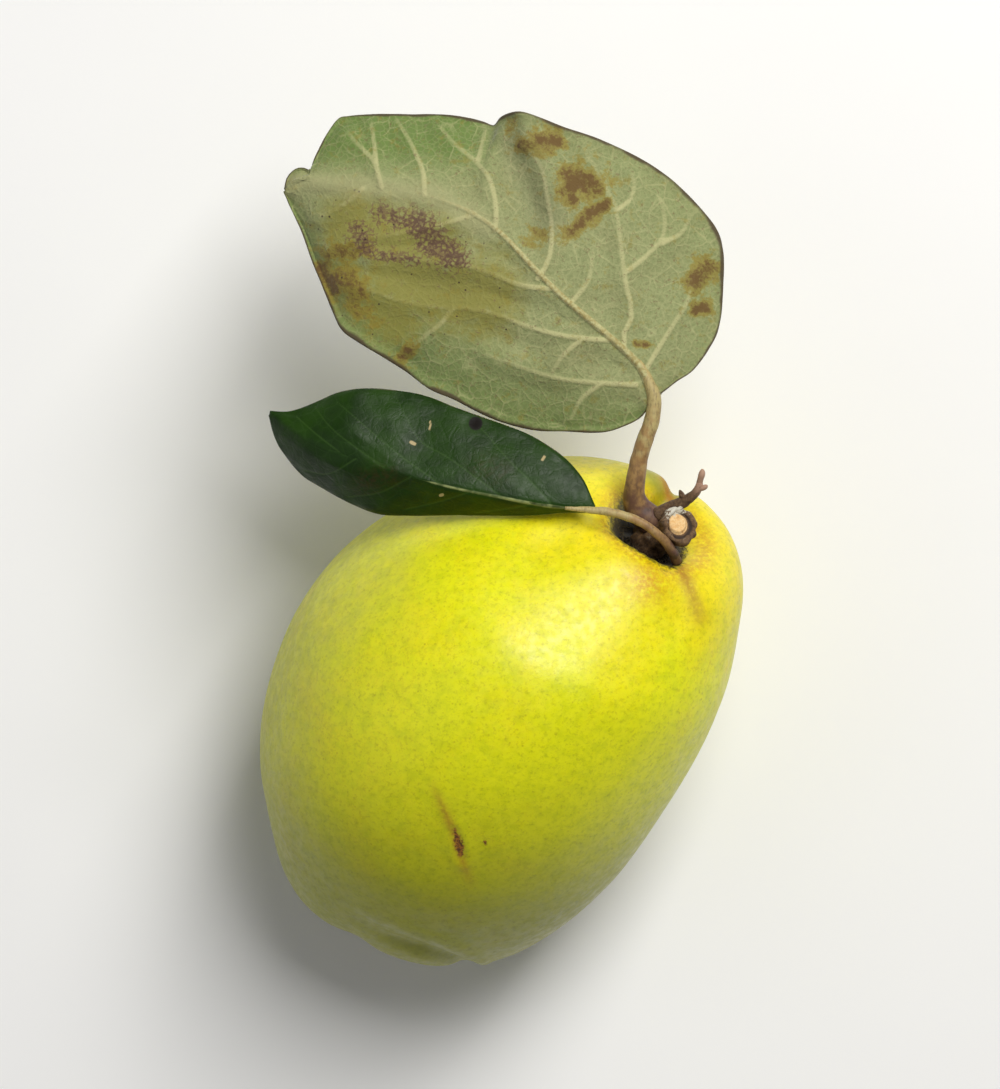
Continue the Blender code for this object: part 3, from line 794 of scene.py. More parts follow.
LARGE_PURPLE = [
    ((17.4, 53.0), (24.6, 50.6), 1.7, 0.8), ((23.6, 51.8), (29.0, 45.8), 2.1, 1.0),
    ((24.6, 47.2), (31.4, 44.8), 1.4, 0.9), ((13.2, 50.0), (14.4, 47.6), 1.6, 0.8),
    ((14.0, 46.2), (23.4, 44.8), 0.8, 0.75),
]
LARGE_OLIVE = [((20.0, 42.0), (35.0, 38.0), 6.0, 1.0), ((12.0, 51.0), (26.0, 47.0), 5.5, 0.95),
               ((10.0, 42.0), (20.0, 34.0), 4.6, 0.9), ((36.0, 46.6), (39.0, 45.6), 1.8, 0.5)]
# LARGE_CREST is where painted light brightens the crest, LARGE_VALLEY where painted shade darkens the fold.
LARGE_CREST = [(36.0, 50.6), (26.0, 56.0), (12.0, 58.2), (2.0, 59.0)]
LARGE_VALLEY = [(41.0, 66.0), (46.0, 52.0)]
SMALL_HOLE = (36.9, 24.5)
SMALL_LESIONS = [
    ((25.6, 21.2), (26.2, 20.9), 0.3, 1.0), ((28.9, 23.4), (29.0, 24.8), 0.2, 0.9),
    ((48.6, 18.0), (49.0, 18.6), 0.26, 0.85), ((30.8, 12.1), (31.2, 12.2), 0.26, 1.0),
]
SMALL_FRECKLES = [((17.6, 14.6), (21.6, 15.4), 1.6, 0.45), ((38.0, 17.0), (41.0, 16.0), 1.8, 0.3)]

# How far a blade is arched from midrib to margin, as a share of its width, and the half widths of the
# midrib's foot and of a side vein, by the side of the leaf that faces up.
BLADE_ARCH = 0.05
VEIN_WIDTHS = {"under": (0.62, 0.26), "upper": (0.34, 0.16)}


def leaf_corner(leaf):
    """Where the rows of a leaf start: the low corner of its CAD node, past the foot of its stalk."""
    return low_corner(leaf["node"]) + leaf["past_foot"]


def sheet_of(name, along, across):
    """A flat grid of faces, from -1 to 1 both ways, to be laid between a midrib and two margins."""
    start_clean()
    bpy.ops.mesh.primitive_grid_add(x_subdivisions=along, y_subdivisions=across, size=2)
    piece = bpy.context.object
    piece.name = name
    return piece


def row_of(rows, shares):
    """The places along a midrib or a margin at the given shares of its length."""
    rows = np.array(rows, float)
    return hermite(rows[:, 1:], rows[:, 0], shares)


def lay_blade(piece, leaf, arch):
    """Lays the grid between midrib and margins. Returns its points and how far out each lies, -1 to 1."""
    grid = points_of(piece) * MM
    share = (grid[:, 0] + 1) / 2
    out = np.abs(grid[:, 1])
    middle = row_of(leaf["midrib"], share)
    left = row_of(leaf["left"], share)
    right = row_of(leaf["right"], share)
    edge = np.where((grid[:, 1] > 0)[:, None], left, right)
    points = middle + (edge - middle) * out[:, None]
    width = np.linalg.norm(edge - middle, axis=1)
    points[:, 2] += 4 * arch * width * out * (1 - out)
    for start, end, height, reach in leaf["wave"]:
        gap, _ = distance_to_route(points[:, :2], np.array([start, end]))
        points[:, 2] += height * near(gap, reach) * np.clip(out * 3, 0, 1)
    points[:, 2] += 0.35 * noise_at(points, 9, 11) * out
    points[:, 2] += 0.5 * noise_at(points * (1, 1, 0), 5, 12) * step(out, 0.75, 1.0)
    return points, grid[:, 1]


def vein_fields(points, leaf, base_width, side_width):
    """For each point: how far outside the midrib's and the side veins' edges it lies, how far from the
    nearest side vein's line, and how bold that vein is there."""
    flat = points[:, :2]
    spine = row_of(leaf["midrib"], np.linspace(0, 1, 40))[:, :2]
    gap, share = distance_to_route(flat, spine)
    midrib = gap - base_width * (0.15 + 0.85 * (1 - share) ** 1.6) + leaf["fade"](share)
    side = np.full(len(flat), 99.0)
    line = np.full(len(flat), 99.0)
    bold = np.ones(len(flat))
    for vein in leaf["veins"]:
        gap, share = distance_to_route(flat, smooth_route(vein, 14))
        bold = np.where(gap < line, 1.0 - 0.72 * share, bold)
        side = np.minimum(side, gap - side_width * (1.0 - 0.35 * share))
        line = np.minimum(line, gap)
    return midrib, side, line, bold


def blotches(points, spots):
    """The strongest of the spots at each point, from 0 to 1."""
    found = np.zeros(len(points))
    for start, end, reach, strength in spots:
        gap, _ = distance_to_route(points[:, :2], np.array([start, end], float))
        found = np.maximum(found, strength * near(gap, 1.25 * reach))
    return found


def thicken(piece, thickness):
    """Gives the blade its two sides. The far side takes the second material, the rim the third."""
    modifier = piece.modifiers.new("thickness", "SOLIDIFY")
    modifier.thickness = thickness
    modifier.offset = 0.0
    modifier.material_offset = 1
    modifier.material_offset_rim = 2
    apply_modifiers(piece)


def face_up(piece):
    """Turns the open sheet so that its normals point up."""
    pick(piece)
    if normals_of(piece)[:, 2].mean() < 0:
        bpy.ops.object.mode_set(mode="EDIT")
        bpy.ops.mesh.select_all(action="SELECT")
        bpy.ops.mesh.flip_normals()
        bpy.ops.object.mode_set(mode="OBJECT")


def age_spots(f, leaf, settings):
    """Olive areas, brown blotches and a purple patch with dark specks, over the colour of the leaf."""
    grain = f.noise(0.9, 4, seed=4, rough=0.75)
    coarse = f.noise(2.2, 4, seed=8, rough=0.7)
    olive = f.math("MULTIPLY", f.attribute("olive"), f.span(coarse, 0.25, 0.6, 0.6, 1.2))
    leaf = f.mix(f.span(olive, 0.1, 0.9, 0.0, 0.8), leaf, (0.23, 0.21, 0.03))
    brown = f.math("ADD", f.attribute("brown"), f.span(coarse, 0.3, 0.7, -0.3, 0.3))
    leaf = f.mix(f.span(brown, 0.12, 0.45, 0.0, 0.75), leaf, (0.25, 0.19, 0.018))
    core = f.math("ADD", brown, f.span(grain, 0.3, 0.7, 0.15, -0.2))
    leaf = f.mix(f.span(core, 0.4, 0.9, 0.0, 0.92), leaf, settings.blotch)
    mesh = f.span(f.cells(0.9, "DISTANCE_TO_EDGE", seed=9, bend=0.8), 0.0, 0.35, 0.2, -0.42)
    purple = f.math("ADD", f.attribute("purple"), f.span(grain, 0.35, 0.65, -0.45, 0.25))
    purple = f.math("ADD", purple, mesh)
    leaf = f.mix(f.span(purple, 0.22, 0.55, 0.0, 0.75), leaf, (0.165, 0.1, 0.045))
    leaf = f.mix(f.span(purple, 0.6, 1.0, 0.0, 0.72), leaf, (0.085, 0.036, 0.028))
    pepper = f.span(f.cells(1.9, seed=5), 0.13, 0.07)
    pepper = f.math("MULTIPLY", pepper, f.span(f.math("ADD", f.attribute("purple"), olive), 0.1, 0.5))
    return f.mix(f.math("MULTIPLY", pepper, 0.9), leaf, (0.04, 0.018, 0.012))


def underside_finish(settings, name, worn):
    """Downy grey-green underside with cream veins, a net of fine veins, and age spots where worn."""
    f = Finish(name, 0.82, sheen=0.25)
    felt = f.noise(0.55, 4, rough=0.7)
    tone = f.noise(7, 3, seed=1)
    leaf = f.mix(f.span(tone, 0.3, 0.7), settings.underside, (0.29, 0.32, 0.135))
    # Darker green towards the margins, and at the top left of the large leaf the painted shade of the fold.
    leaf = f.mix(f.attribute("greener"), leaf, (0.13, 0.205, 0.04))
    leaf = f.mix(f.span(felt, 0.4, 0.66, 0.0, 0.45), leaf, (0.14, 0.165, 0.055))
    net = f.cells(3.4, "DISTANCE_TO_EDGE", bend=1.6)
    fine_net = f.cells(1.15, "DISTANCE_TO_EDGE", seed=3, bend=0.5)
    broken = f.span(f.noise(4, 2, seed=6), 0.35, 0.6, 0.25, 1.0)
    leaf = f.mix(f.math("MULTIPLY", f.span(fine_net, 0.11, 0.03), 0.13), leaf, settings.vein)
    leaf = f.mix(f.math("MULTIPLY", f.span(net, 0.05, 0.012, 0.0, 0.26), broken), leaf, settings.vein)
    layers = [
        (felt, 0.05),
        (f.span(net, 0.0, 0.12, 1.0, 0.0), 0.035),
        (f.span(fine_net, 0.0, 0.2, 1.0, 0.0), 0.025),
    ]
    side = f.math("MULTIPLY", f.span(f.attribute("side"), 0.3, -0.08), f.attribute("bold"))
    leaf = f.mix(f.math("MULTIPLY", side, 0.86), leaf, settings.vein)
    if worn:
        leaf = age_spots(f, leaf, settings)
    f.colour(midrib_and_rim(f, leaf, settings, tone))
    f.bump(*layers)
    return f.material


def midrib_and_rim(f, leaf, settings, tone):
    """The cream midrib, the painted light along the crest, the painted shade in the valley and the dried
    margin of an underside.
    """
    ridge = f.span(f.attribute("midrib"), 0.14, -0.14)
    cream = f.mix(f.span(f.noise(0.6, 3, stretch=(1, 1, 0.3)), 0.3, 0.7), settings.vein, (0.34, 0.28, 0.1))
    leaf = f.mix(ridge, leaf, cream)
    # Painted light: the crest is paler where it catches the light.
    leaf = f.mix(f.math("MULTIPLY", f.attribute("pale"), 0.5), leaf, (0.4, 0.385, 0.19))
    # Painted shade: the valley is darkened to a grey.
    leaf = f.mix(f.attribute("grey"), leaf, (0.66, 0.62, 0.72), "MULTIPLY")
    rim = f.span(f.math("ADD", f.attribute("rim"), f.span(tone, 0.3, 0.7, -0.3, 0.3)), 0.3, 0.9, 0.0, 0.9)
    return f.mix(rim, leaf, (0.06, 0.035, 0.016))


def upper_finish(settings, name):
    """Dark, leathery upper side: a waxy shine, fine pale veins, brown flecks and pale specks."""
    f = Finish(name, 0.42)
    f.shader.inputs["Specular IOR Level"].default_value = 0.22
    tone = f.noise(5, 3)
    leaf = f.mix(f.span(tone, 0.3, 0.7), settings.upper, (0.013, 0.044, 0.001))
    net = f.cells(2.6, "DISTANCE_TO_EDGE", bend=1.0)
    fine = f.cells(0.9, "DISTANCE_TO_EDGE", seed=2, bend=0.4)
    leaf = f.mix(f.math("MULTIPLY", f.span(net, 0.05, 0.01), 0.12), leaf, (0.04, 0.09, 0.02))
    leaf = f.mix(f.span(f.attribute("side"), 0.12, -0.06, 0.0, 0.4), leaf, (0.04, 0.09, 0.015))
    rib = f.mix(f.span(f.noise(2.6, 2, seed=3), 0.4, 0.6, 0.25, 1.0), (0.04, 0.07, 0.02), (0.3, 0.34, 0.14))
    leaf = f.mix(f.span(f.attribute("midrib"), 0.12, -0.12), leaf, rib)
    scratch = f.noise(1.0, 4, seed=5, stretch=(0.35, 1.4, 1), rough=0.8)
    leaf = f.mix(f.span(scratch, 0.66, 0.8, 0.0, 0.35), leaf, (0.09, 0.12, 0.06))
    brown = f.math("MULTIPLY", f.attribute("brown"), f.span(f.noise(0.8, 3), 0.3, 0.7))
    leaf = f.mix(brown, leaf, (0.05, 0.02, 0.006))
    leaf = f.mix(f.span(f.attribute("lesion"), 0.35, 0.7), leaf, (0.42, 0.33, 0.16))
    leaf = f.mix(f.span(f.attribute("hole"), 0.4, 0.6), leaf, (0.006, 0.004, 0.003))
    rim = f.span(f.math("ADD", f.attribute("rim"), f.span(tone, 0.3, 0.7, -0.2, 0.2)), 0.7, 1.1, 0.0, 0.7)
    leaf = f.mix(rim, leaf, (0.08, 0.07, 0.03))
    f.colour(leaf)
    rough = f.span(f.noise(1.4, 3, seed=7), 0.3, 0.7, 0.4, 0.52)
    f.roughness(f.math("ADD", rough, f.math("MULTIPLY", f.attribute("hole"), 0.4)))
    f.bump(
        (f.span(net, 0.0, 0.15, 0.0, 1.0), 0.02),
        (f.span(fine, 0.0, 0.2, 0.0, 1.0), 0.012),
        (scratch, 0.03),
    )
    return f.material


def rim_finish():
    """The thin edge of a blade, dried to brown in places."""
    f = Finish("leaf edge", 0.7)
    f.colour(f.mix(f.span(f.noise(3, 3), 0.35, 0.6), (0.12, 0.11, 0.035), (0.05, 0.026, 0.012)))
    f.bump((f.noise(0.5, 2), 0.04))
    return f.material


def vein_relief(view_side, height, fields, inside):
    """How far the veins stand out of an underside, or lie sunk in an upper side."""
    midrib, side, line, bold = fields
    if view_side == "under":
        relief = 0.7 * step(midrib, 0.3, -0.5) + height * bold * step(side, 0.45, -0.16)
        return relief - 0.55 * step(line, 0.2, 3.4) * inside * step(midrib, 0.0, 2.5)
    relief = -0.12 * step(midrib, 0.5, -0.1) - 0.05 * step(side, 0.3, -0.1)
    return relief + 0.16 * step(line, 0.1, 3.0) * inside * step(midrib, 0.0, 2.0)


def make_blade(piece, leaf, settings, view_side):
    """The relief and the painted marks of one blade. view_side is the side that faces up."""
    points, across = lay_blade(piece, leaf, BLADE_ARCH)
    fields = vein_fields(points, leaf, *VEIN_WIDTHS[view_side])
    set_points(piece, points + leaf_corner(leaf))
    face_up(piece)
    inside = step(np.abs(across), 1.0, 0.93)
    relief = vein_relief(view_side, settings.vein_height / MM, fields, inside)
    relief += 0.06 * noise_at(points, 2.2, 13)
    set_points(piece, points + leaf_corner(leaf) + normals_of(piece) * relief[:, None])
    midrib, side, _, bold = fields
    paint(piece, "midrib", midrib)
    paint(piece, "side", side)
    paint(piece, "bold", bold)
    paint(piece, "rim", step(np.abs(across), 0.955, 1.0))
    return points, across


def petiole(name, rows, samples):
    """A leaf stalk along (x, y, z, radius) rows, with closed ends."""
    curve = bpy.data.curves.new(name, "CURVE")
    curve.dimensions = "3D"
    curve.bevel_depth = MM
    curve.bevel_resolution = 6
    curve.use_fill_caps = True
    spline = curve.splines.new("POLY")
    spline.points.add(samples - 1)
    for point, place in zip(spline.points, smooth_route(rows, samples)):
        point.co = (*(place[:3] * MM), 1.0)
        point.radius = place[3]
    piece = bpy.data.objects.new(name, curve)
    bpy.context.scene.collection.objects.link(piece)
    pick(piece)
    bpy.ops.object.convert(target="MESH")
    bpy.ops.object.mode_set(mode="EDIT")
    bpy.ops.mesh.select_all(action="SELECT")
    bpy.ops.mesh.remove_doubles(threshold=0.002 * MM)
    bpy.ops.mesh.normals_make_consistent(inside=False)
    bpy.ops.object.mode_set(mode="OBJECT")
    return bpy.context.object


# Leaf stalks as (x, y, z, radius), from the spur to a little way along the blade's midrib, in millimetres
# from the leaf's corner.
LARGE_PETIOLE = [
    (66.2, -2.4, 4.4, 2.3), (64.2, -0.4, 5.2, 2.6), (62.4, 1.4, 5.8, 2.35), (61.7, 3.6, 7.0, 1.95),
    (61.9, 6.2, 8.2, 1.7), (62.5, 9.8, 9.2, 1.55),
    (63.6, 13.6, 10.2, 1.45), (64.9, 17.6, 10.9, 1.35), (65.1, 20.6, 11.3, 1.25), (64.2, 23.4, 11.7, 1.0),
    (62.8, 26.2, 11.9, 0.75), (60.6, 28.6, 12.0, 0.45),
]
SMALL_PETIOLE = [
    (72.3, 0.4, 7.7, 1.0), (71.3, 2.3, 10.9, 0.85), (69.3, 4.7, 13.3, 0.8), (66.7, 6.7, 14.1, 0.78),
    (63.5, 8.2, 14.1, 0.76), (60.3, 9.0, 13.8, 0.74), (56.6, 9.4, 13.6, 0.6), (52.6, 9.7, 13.8, 0.35),
]


def stalk_finish(settings):
    """Leaf stalks: purple-brown and corky at the spur, turning to ridged tan and then cream at the blade."""
    f = Finish("leaf stalk", 0.55)
    grain = f.noise(0.5, 4, rough=0.7, stretch=(1.2, 0.4, 0.4))
    share = f.math("ADD", f.attribute("share"), f.span(f.noise(1.6, 3, seed=2), 0.3, 0.7, -0.12, 0.12))
    stalk = f.mix(f.span(share, 0.08, 0.45), (0.11, 0.05, 0.032), settings.tan)
    stalk = f.mix(f.span(share, 0.4, 0.72), stalk, (0.46, 0.37, 0.15))
    stalk = f.mix(f.span(grain, 0.44, 0.72, 0.0, 0.6), stalk, (0.1, 0.055, 0.026))
    stalk = f.mix(f.span(share, 0.1, -0.04, 0.0, 0.9), stalk, (0.026, 0.014, 0.01))
    f.colour(stalk)
    f.bump((grain, 0.08))
    return f.material


def rows_from(corner, rows):
    """The (x, y, z, radius) rows, carried from the corner they are measured from to their place."""
    return [(x + corner[0], y + corner[1], z + corner[2], r) for x, y, z, r in rows]


def leaf_stalk(name, leaf, rows, samples):
    """A leaf's stalk in its place, with grooves, knots and its share along for the colour."""
    corner = leaf_corner(leaf)
    piece = petiole(name, rows_from(corner, rows), samples)
    points = points_of(piece)
    _, share = distance_to_route(points, smooth_route(np.array(rows)[:, :3] + corner, 24))
    relief = 0.09 * noise_at(points * (1, 0.5, 0.5), 0.9, 21)
    relief += 0.12 * noise_at(points, 2.2, 22) * (1 - share)
    set_points(piece, points + normals_of(piece) * relief[:, None])
    paint(piece, "share", share)
    return piece


def paint_large_marks(blade, points, across):
    """Paints the spots, the greener margin with the painted shade of the fold at the top left, the painted
    light along the crest and the painted shade in the valley of the large leaf.
    """
    paint(blade, "brown", blotches(points, LARGE_BROWN))
    paint(blade, "purple", blotches(points, LARGE_PURPLE))
    paint(blade, "olive", blotches(points, LARGE_OLIVE))
    margin = step(np.abs(across), 0.35, 1.0)
    # top is the painted shade of the fold at the top left, added to the greener margin.
    top = step(points[:, 1], 57, 66) * step(points[:, 0], 40, 30)
    paint(blade, "greener", np.clip(0.55 * margin * (across > 0) + top + 0.2 * margin, 0, 1))
    crest, _ = distance_to_route(points[:, :2], np.array(LARGE_CREST))
    valley, _ = distance_to_route(points[:, :2], np.array(LARGE_VALLEY))
    # pale: painted light along the crest.
    paint(blade, "pale", near(crest, 2.2))
    # grey: painted shade in the valley.
    paint(blade, "grey", 0.6 * near(valley, 3.2))


class QUINCE_OT_large_leaf(bpy.types.Operator):
    """Makes the large leaf, with the veins of its underside standing out, and its stalk."""

    bl_idname = "quince.large_leaf"
    bl_label = "Large leaf"

    def execute(self, context):
        settings = context.scene.quince_leaf
        blade = sheet_of("large_leaf_blade", 230, 160)
        points, across = make_blade(blade, LARGE_LEAF, settings, "under")
        paint_large_marks(blade, points, across)
        thicken(blade, settings.thickness)
        finish(
            blade, ["large_leaf"], "leaf_underside",
            underside_finish(settings, "leaf underside, aged", True),
            upper_finish(settings, "leaf upper side, shaded"), rim_finish(),
        )
        stalk = leaf_stalk("large_leaf_stalk", LARGE_LEAF, LARGE_PETIOLE, 60)
        finish(stalk, ["large_leaf"], "bark", stalk_finish(context.scene.quince_wood))
        return {"FINISHED"}


class QUINCE_OT_small_leaf(bpy.types.Operator):
    """Makes the small leaf, glossy side up, draped over the fruit's shoulder, and its stalk."""

    bl_idname = "quince.small_leaf"
    bl_label = "Small leaf"

    def execute(self, context):
        settings = context.scene.quince_leaf
        blade = sheet_of("small_leaf_blade", 200, 110)
        points, _ = make_blade(blade, SMALL_LEAF, settings, "upper")
        paint(blade, "brown", blotches(points, SMALL_FRECKLES))
        paint(blade, "lesion", blotches(points, SMALL_LESIONS))
        paint(blade, "hole", near(np.linalg.norm(points[:, :2] - SMALL_HOLE, axis=1), 1.45))
        thicken(blade, settings.thickness)
        finish(
            blade, ["small_leaf"], "leaf_upper",
            upper_finish(settings, "leaf upper side"),
            underside_finish(settings, "leaf underside", False), rim_finish(),
        )
        stalk = leaf_stalk("small_leaf_stalk", SMALL_LEAF, SMALL_PETIOLE, 50)
        finish(stalk, ["small_leaf"], "bark", stalk_finish(context.scene.quince_wood))
        return {"FINISHED"}


# ---------------------------------------------------------------- wood

# The spur's centre line, in millimetres from the low corner of its CAD node, and its profile up the side:
# (height, radius) as shares of its length and of its end radius. The rings of its cut end are
# (width, rise), from the bark inwards.
SPUR_LINE = [(2.5, 2.8, 1.8), (4.5, 4.0, 4.7), (6.3, 4.9, 7.5), (7.9, 5.6, 10.8)]
SPUR_LENGTH = 10.6
SPUR_RADIUS = 3.15
SPUR_FOOT = 1.8  # how far its foot is sunk into the floor of the cavity
SPUR_PROFILE = [
    (0.0, 0.9), (0.06, 1.12), (0.14, 1.16), (0.2, 1.0), (0.28, 0.94), (0.36, 0.98), (0.42, 0.9),
    (0.52, 0.86), (0.6, 0.92), (0.68, 0.88), (0.78, 0.94), (0.86, 1.0), (0.93, 1.06), (0.98, 1.04),
    (1.0, 0.97),
]
SPUR_RINGS = [
    (0.45, -0.05), (0.4, -0.5), (0.4, -0.1), (0.18, 0.5), (0.3, 0.12), (0.5, -0.06), (0.4, 0.03),
]


def turned_spur():
    """A disc drawn up along the spur's profile, with bark, a groove and the wood as rings of its cut end."""
    start_clean()
    foot_radius = SPUR_PROFILE[0][1] * SPUR_RADIUS * MM
    bpy.ops.mesh.primitive_circle_add(vertices=40, radius=foot_radius, fill_type="NGON")
    piece = bpy.context.object
    bpy.ops.object.mode_set(mode="EDIT")
    bpy.ops.mesh.select_all(action="SELECT")
    for (low, narrow), (high, wide) in zip(SPUR_PROFILE, SPUR_PROFILE[1:]):
        rise = (high - low) * SPUR_LENGTH * MM
        bpy.ops.mesh.extrude_region_move(TRANSFORM_OT_translate={"value": (0, 0, rise)})
        scale = wide / narrow
        bpy.ops.transform.resize(value=(scale, scale, 1))
    for thickness, depth in SPUR_RINGS:
        bpy.ops.mesh.inset(thickness=thickness * MM, depth=depth * MM)
    bpy.ops.mesh.poke()
    bpy.ops.mesh.select_all(action="SELECT")
    bpy.ops.mesh.normals_make_consistent(inside=False)
    bpy.ops.object.mode_set(mode="OBJECT")
    return piece


def bend_along(points, line, length):
    """Carries points that stand along +Z on to a curved centre line."""
    share = np.clip(points[:, 2] / length, 0, 1.2)
    line = smooth_route(line, 24)
    steps = np.clip((share * 23).astype(int), 0, 22)
    tangents = np.gradient(line, axis=0)
    tangents /= np.linalg.norm(tangents, axis=1)[:, None]
    t = (share * 23 - steps)[:, None]
    middle = line[steps] * (1 - t) + line[steps + 1] * t
    ahead = tangents[steps] * (1 - np.clip(t, 0, 1)) + tangents[steps + 1] * np.clip(t, 0, 1)
    ahead /= np.linalg.norm(ahead, axis=1)[:, None]
    side = np.cross(np.array([0.0, 1.0, 0.0]), ahead)
    side /= np.linalg.norm(side, axis=1)[:, None]
    across = np.cross(ahead, side)
    return middle + side * points[:, :1] + across * points[:, 1:2]


def bark_finish(settings):
    """Ridged brown bark with grey flakes, and the pale wood of a cut end where the piece says so."""
    f = Finish("bark and cut wood", 0.78)
    ridge = f.noise(0.8, 4, rough=0.75, stretch=(1.3, 1.3, 0.45))
    bark = f.mix(f.span(ridge, 0.35, 0.7), settings.bark, (0.2, 0.115, 0.05))
    bark = f.mix(f.span(f.noise(1.6, 4, seed=2, rough=0.7), 0.58, 0.72, 0.0, 0.6), bark, (0.33, 0.27, 0.19))
    bark = f.mix(f.span(f.noise(0.45, 2, seed=3), 0.6, 0.75, 0.0, 0.7), bark, (0.02, 0.01, 0.006))
    wood = f.mix(f.span(f.noise(0.35, 4, seed=5, rough=0.7), 0.35, 0.7), settings.cut, (0.86, 0.62, 0.32))
    wood = f.mix(f.span(f.noise(1.3, 2, seed=6), 0.55, 0.75, 0.0, 0.6), wood, (0.5, 0.22, 0.06))
    skin = f.mix(f.span(f.attribute("cut"), 0.35, 0.65), bark, wood)
    skin = f.mix(f.span(f.attribute("groove"), 0.3, 0.9), skin, (0.03, 0.015, 0.008))
    patch = f.attribute("fluff")
    fluff = f.math("ADD", patch, f.span(f.noise(0.5, 4, seed=8, rough=0.8), 0.35, 0.65, -0.4, 0.3))
    skin = f.mix(f.span(fluff, 0.35, 0.6), skin, (0.6, 0.57, 0.47))
    f.colour(skin)
    f.bump((ridge, 0.14), (f.noise(0.3, 3, seed=4), 0.05))
    return f.material


def twig_finish(settings):
    """Thin bark of the bud twig, paler and pinkish towards the forked bud."""
    f = Finish("twig bark", 0.68)
    grain = f.noise(0.45, 4, rough=0.7)
    bark = f.mix(f.span(grain, 0.35, 0.7), (0.075, 0.038, 0.018), (0.17, 0.1, 0.045))
    bark = f.mix(f.span(f.attribute("share"), 0.72, 0.97), bark, (0.4, 0.24, 0.16))
    bark = f.mix(f.span(f.noise(0.9, 2, seed=2), 0.55, 0.7, 0.0, 0.5), bark, (0.045, 0.022, 0.014))
    f.colour(bark)
    f.bump((grain, 0.08))
    return f.material


def roughened_spur(piece, points, on_end, settings):
    """Ridges and knots in the bark, a finer grain on the cut end, and its wood a little off centre."""
    radius = np.linalg.norm(points[:, :2], axis=1)
    angle = np.arctan2(points[:, 1], points[:, 0])
    ridges = settings.ridges / MM * np.sin(7 * angle + 5 * noise_at(points, 3, 31))
    rough = 0.3 * noise_at(points * (1, 1, 0.6), 1.2, 32) + 0.45 * noise_at(points, 3.0, 33)
    relief = np.where(radius > 2.2, ridges + rough, 0.05 * noise_at(points, 0.5, 34))
    inner = on_end * step(radius, 2.6, 1.6)
    moved = points + normals_of(piece) * relief[:, None]
    moved[:, 0] -= 0.55 * inner
    moved[:, 1] += 0.35 * inner
    return moved


def planted_spur(points, height):
    """The spur carried on to its centre line, with its foot sunk into the fruit."""
    placed = bend_along(points, SPUR_LINE, SPUR_LENGTH) + low_corner("spur")
    down = np.subtract(SPUR_LINE[0], SPUR_LINE[1])
    down = SPUR_FOOT * down / np.linalg.norm(down)
    return placed + down * step(height, 1.6, 0.0)[:, None]


class QUINCE_OT_spur(bpy.types.Operator):
    """Makes the woody spur, with ridged bark, bud rings and its cut end."""

    bl_idname = "quince.spur"
    bl_label = "Spur"

    def execute(self, context):
        settings = context.scene.quince_wood
        piece = turned_spur()
        piece.name = "spur_wood"
        subdivide_smoothly(piece, 2)
        points = points_of(piece)
        height = points[:, 2]
        radius = np.linalg.norm(points[:, :2], axis=1)
        angle = np.arctan2(points[:, 1], points[:, 0])
        on_end = step(height, SPUR_LENGTH - 0.9, SPUR_LENGTH - 0.4)
        set_points(piece, planted_spur(roughened_spur(piece, points, on_end, settings), height))
        paint(piece, "cut", on_end * step(radius, 2.0, 1.75))
        paint(piece, "groove", on_end * near(radius - 2.15, 0.3))
        rim_point = np.linalg.norm(np.stack([radius - 2.7, 1.6 * (angle - 1.9)], axis=1), axis=1)
        paint(piece, "fluff", step(height, SPUR_LENGTH - 1.6, SPUR_LENGTH - 0.4) * near(rim_point, 1.3))
        finish(piece, ["spur"], "bark", bark_finish(settings))
        return {"FINISHED"}


# The bud twig and the two prongs of its bud, in millimetres from the low corner of its CAD node.
TWIG = [(-1.6, -0.8, -0.2, 1.4), (0.4, 0.2, 0.6, 1.4), (2.0, 1.0, 1.8, 1.2), (3.8, 2.1, 3.1, 0.95),
        (5.2, 3.3, 4.2, 0.8), (5.7, 4.4, 4.8, 0.7), (5.8, 5.0, 5.1, 0.6)]
PRONGS = [
    [(5.7, 4.7, 4.8, 0.6), (5.9, 5.6, 5.4, 0.56), (6.1, 6.3, 5.8, 0.62), (6.2, 6.9, 5.9, 0.5),
     (6.2, 7.3, 6.0, 0.18)],
    [(5.6, 3.9, 4.6, 0.5), (6.4, 4.0, 4.9, 0.5), (6.9, 4.3, 5.1, 0.4), (7.1, 4.5, 5.2, 0.14)],
    [(2.9, 2.2, 2.6, 0.6), (2.5, 3.1, 3.3, 0.5), (2.3, 3.6, 3.7, 0.18)],
]


class QUINCE_OT_bud_twig(bpy.types.Operator):
    """Makes the side twig with its forked bud and a bud scale."""

    bl_idname = "quince.bud_twig"
    bl_label = "Bud twig"

    def execute(self, context):
        corner = low_corner("bud_twig")
        pieces = []
        for number, rows in enumerate([TWIG] + PRONGS):
            samples = 30 if number == 0 else 12
            pieces.append(petiole(f"twig_{number}", rows_from(corner, rows), samples))
        piece = join(pieces, "bud_twig_wood")
        subdivide_smoothly(piece, 1)
        points = points_of(piece)
        _, share = distance_to_route(points, smooth_route(np.array(TWIG)[:, :3] + corner, 20))
        relief = 0.12 * noise_at(points, 0.8, 41) + 0.1 * noise_at(points, 2.0, 42)
        set_points(piece, points + normals_of(piece) * (relief * step(share, 1.1, 0.6))[:, None])
        paint(piece, "share", share)
        finish(piece, ["bud_twig"], "bark", twig_finish(context.scene.quince_wood))
        return {"FINISHED"}


# ---------------------------------------------------------------- calyx


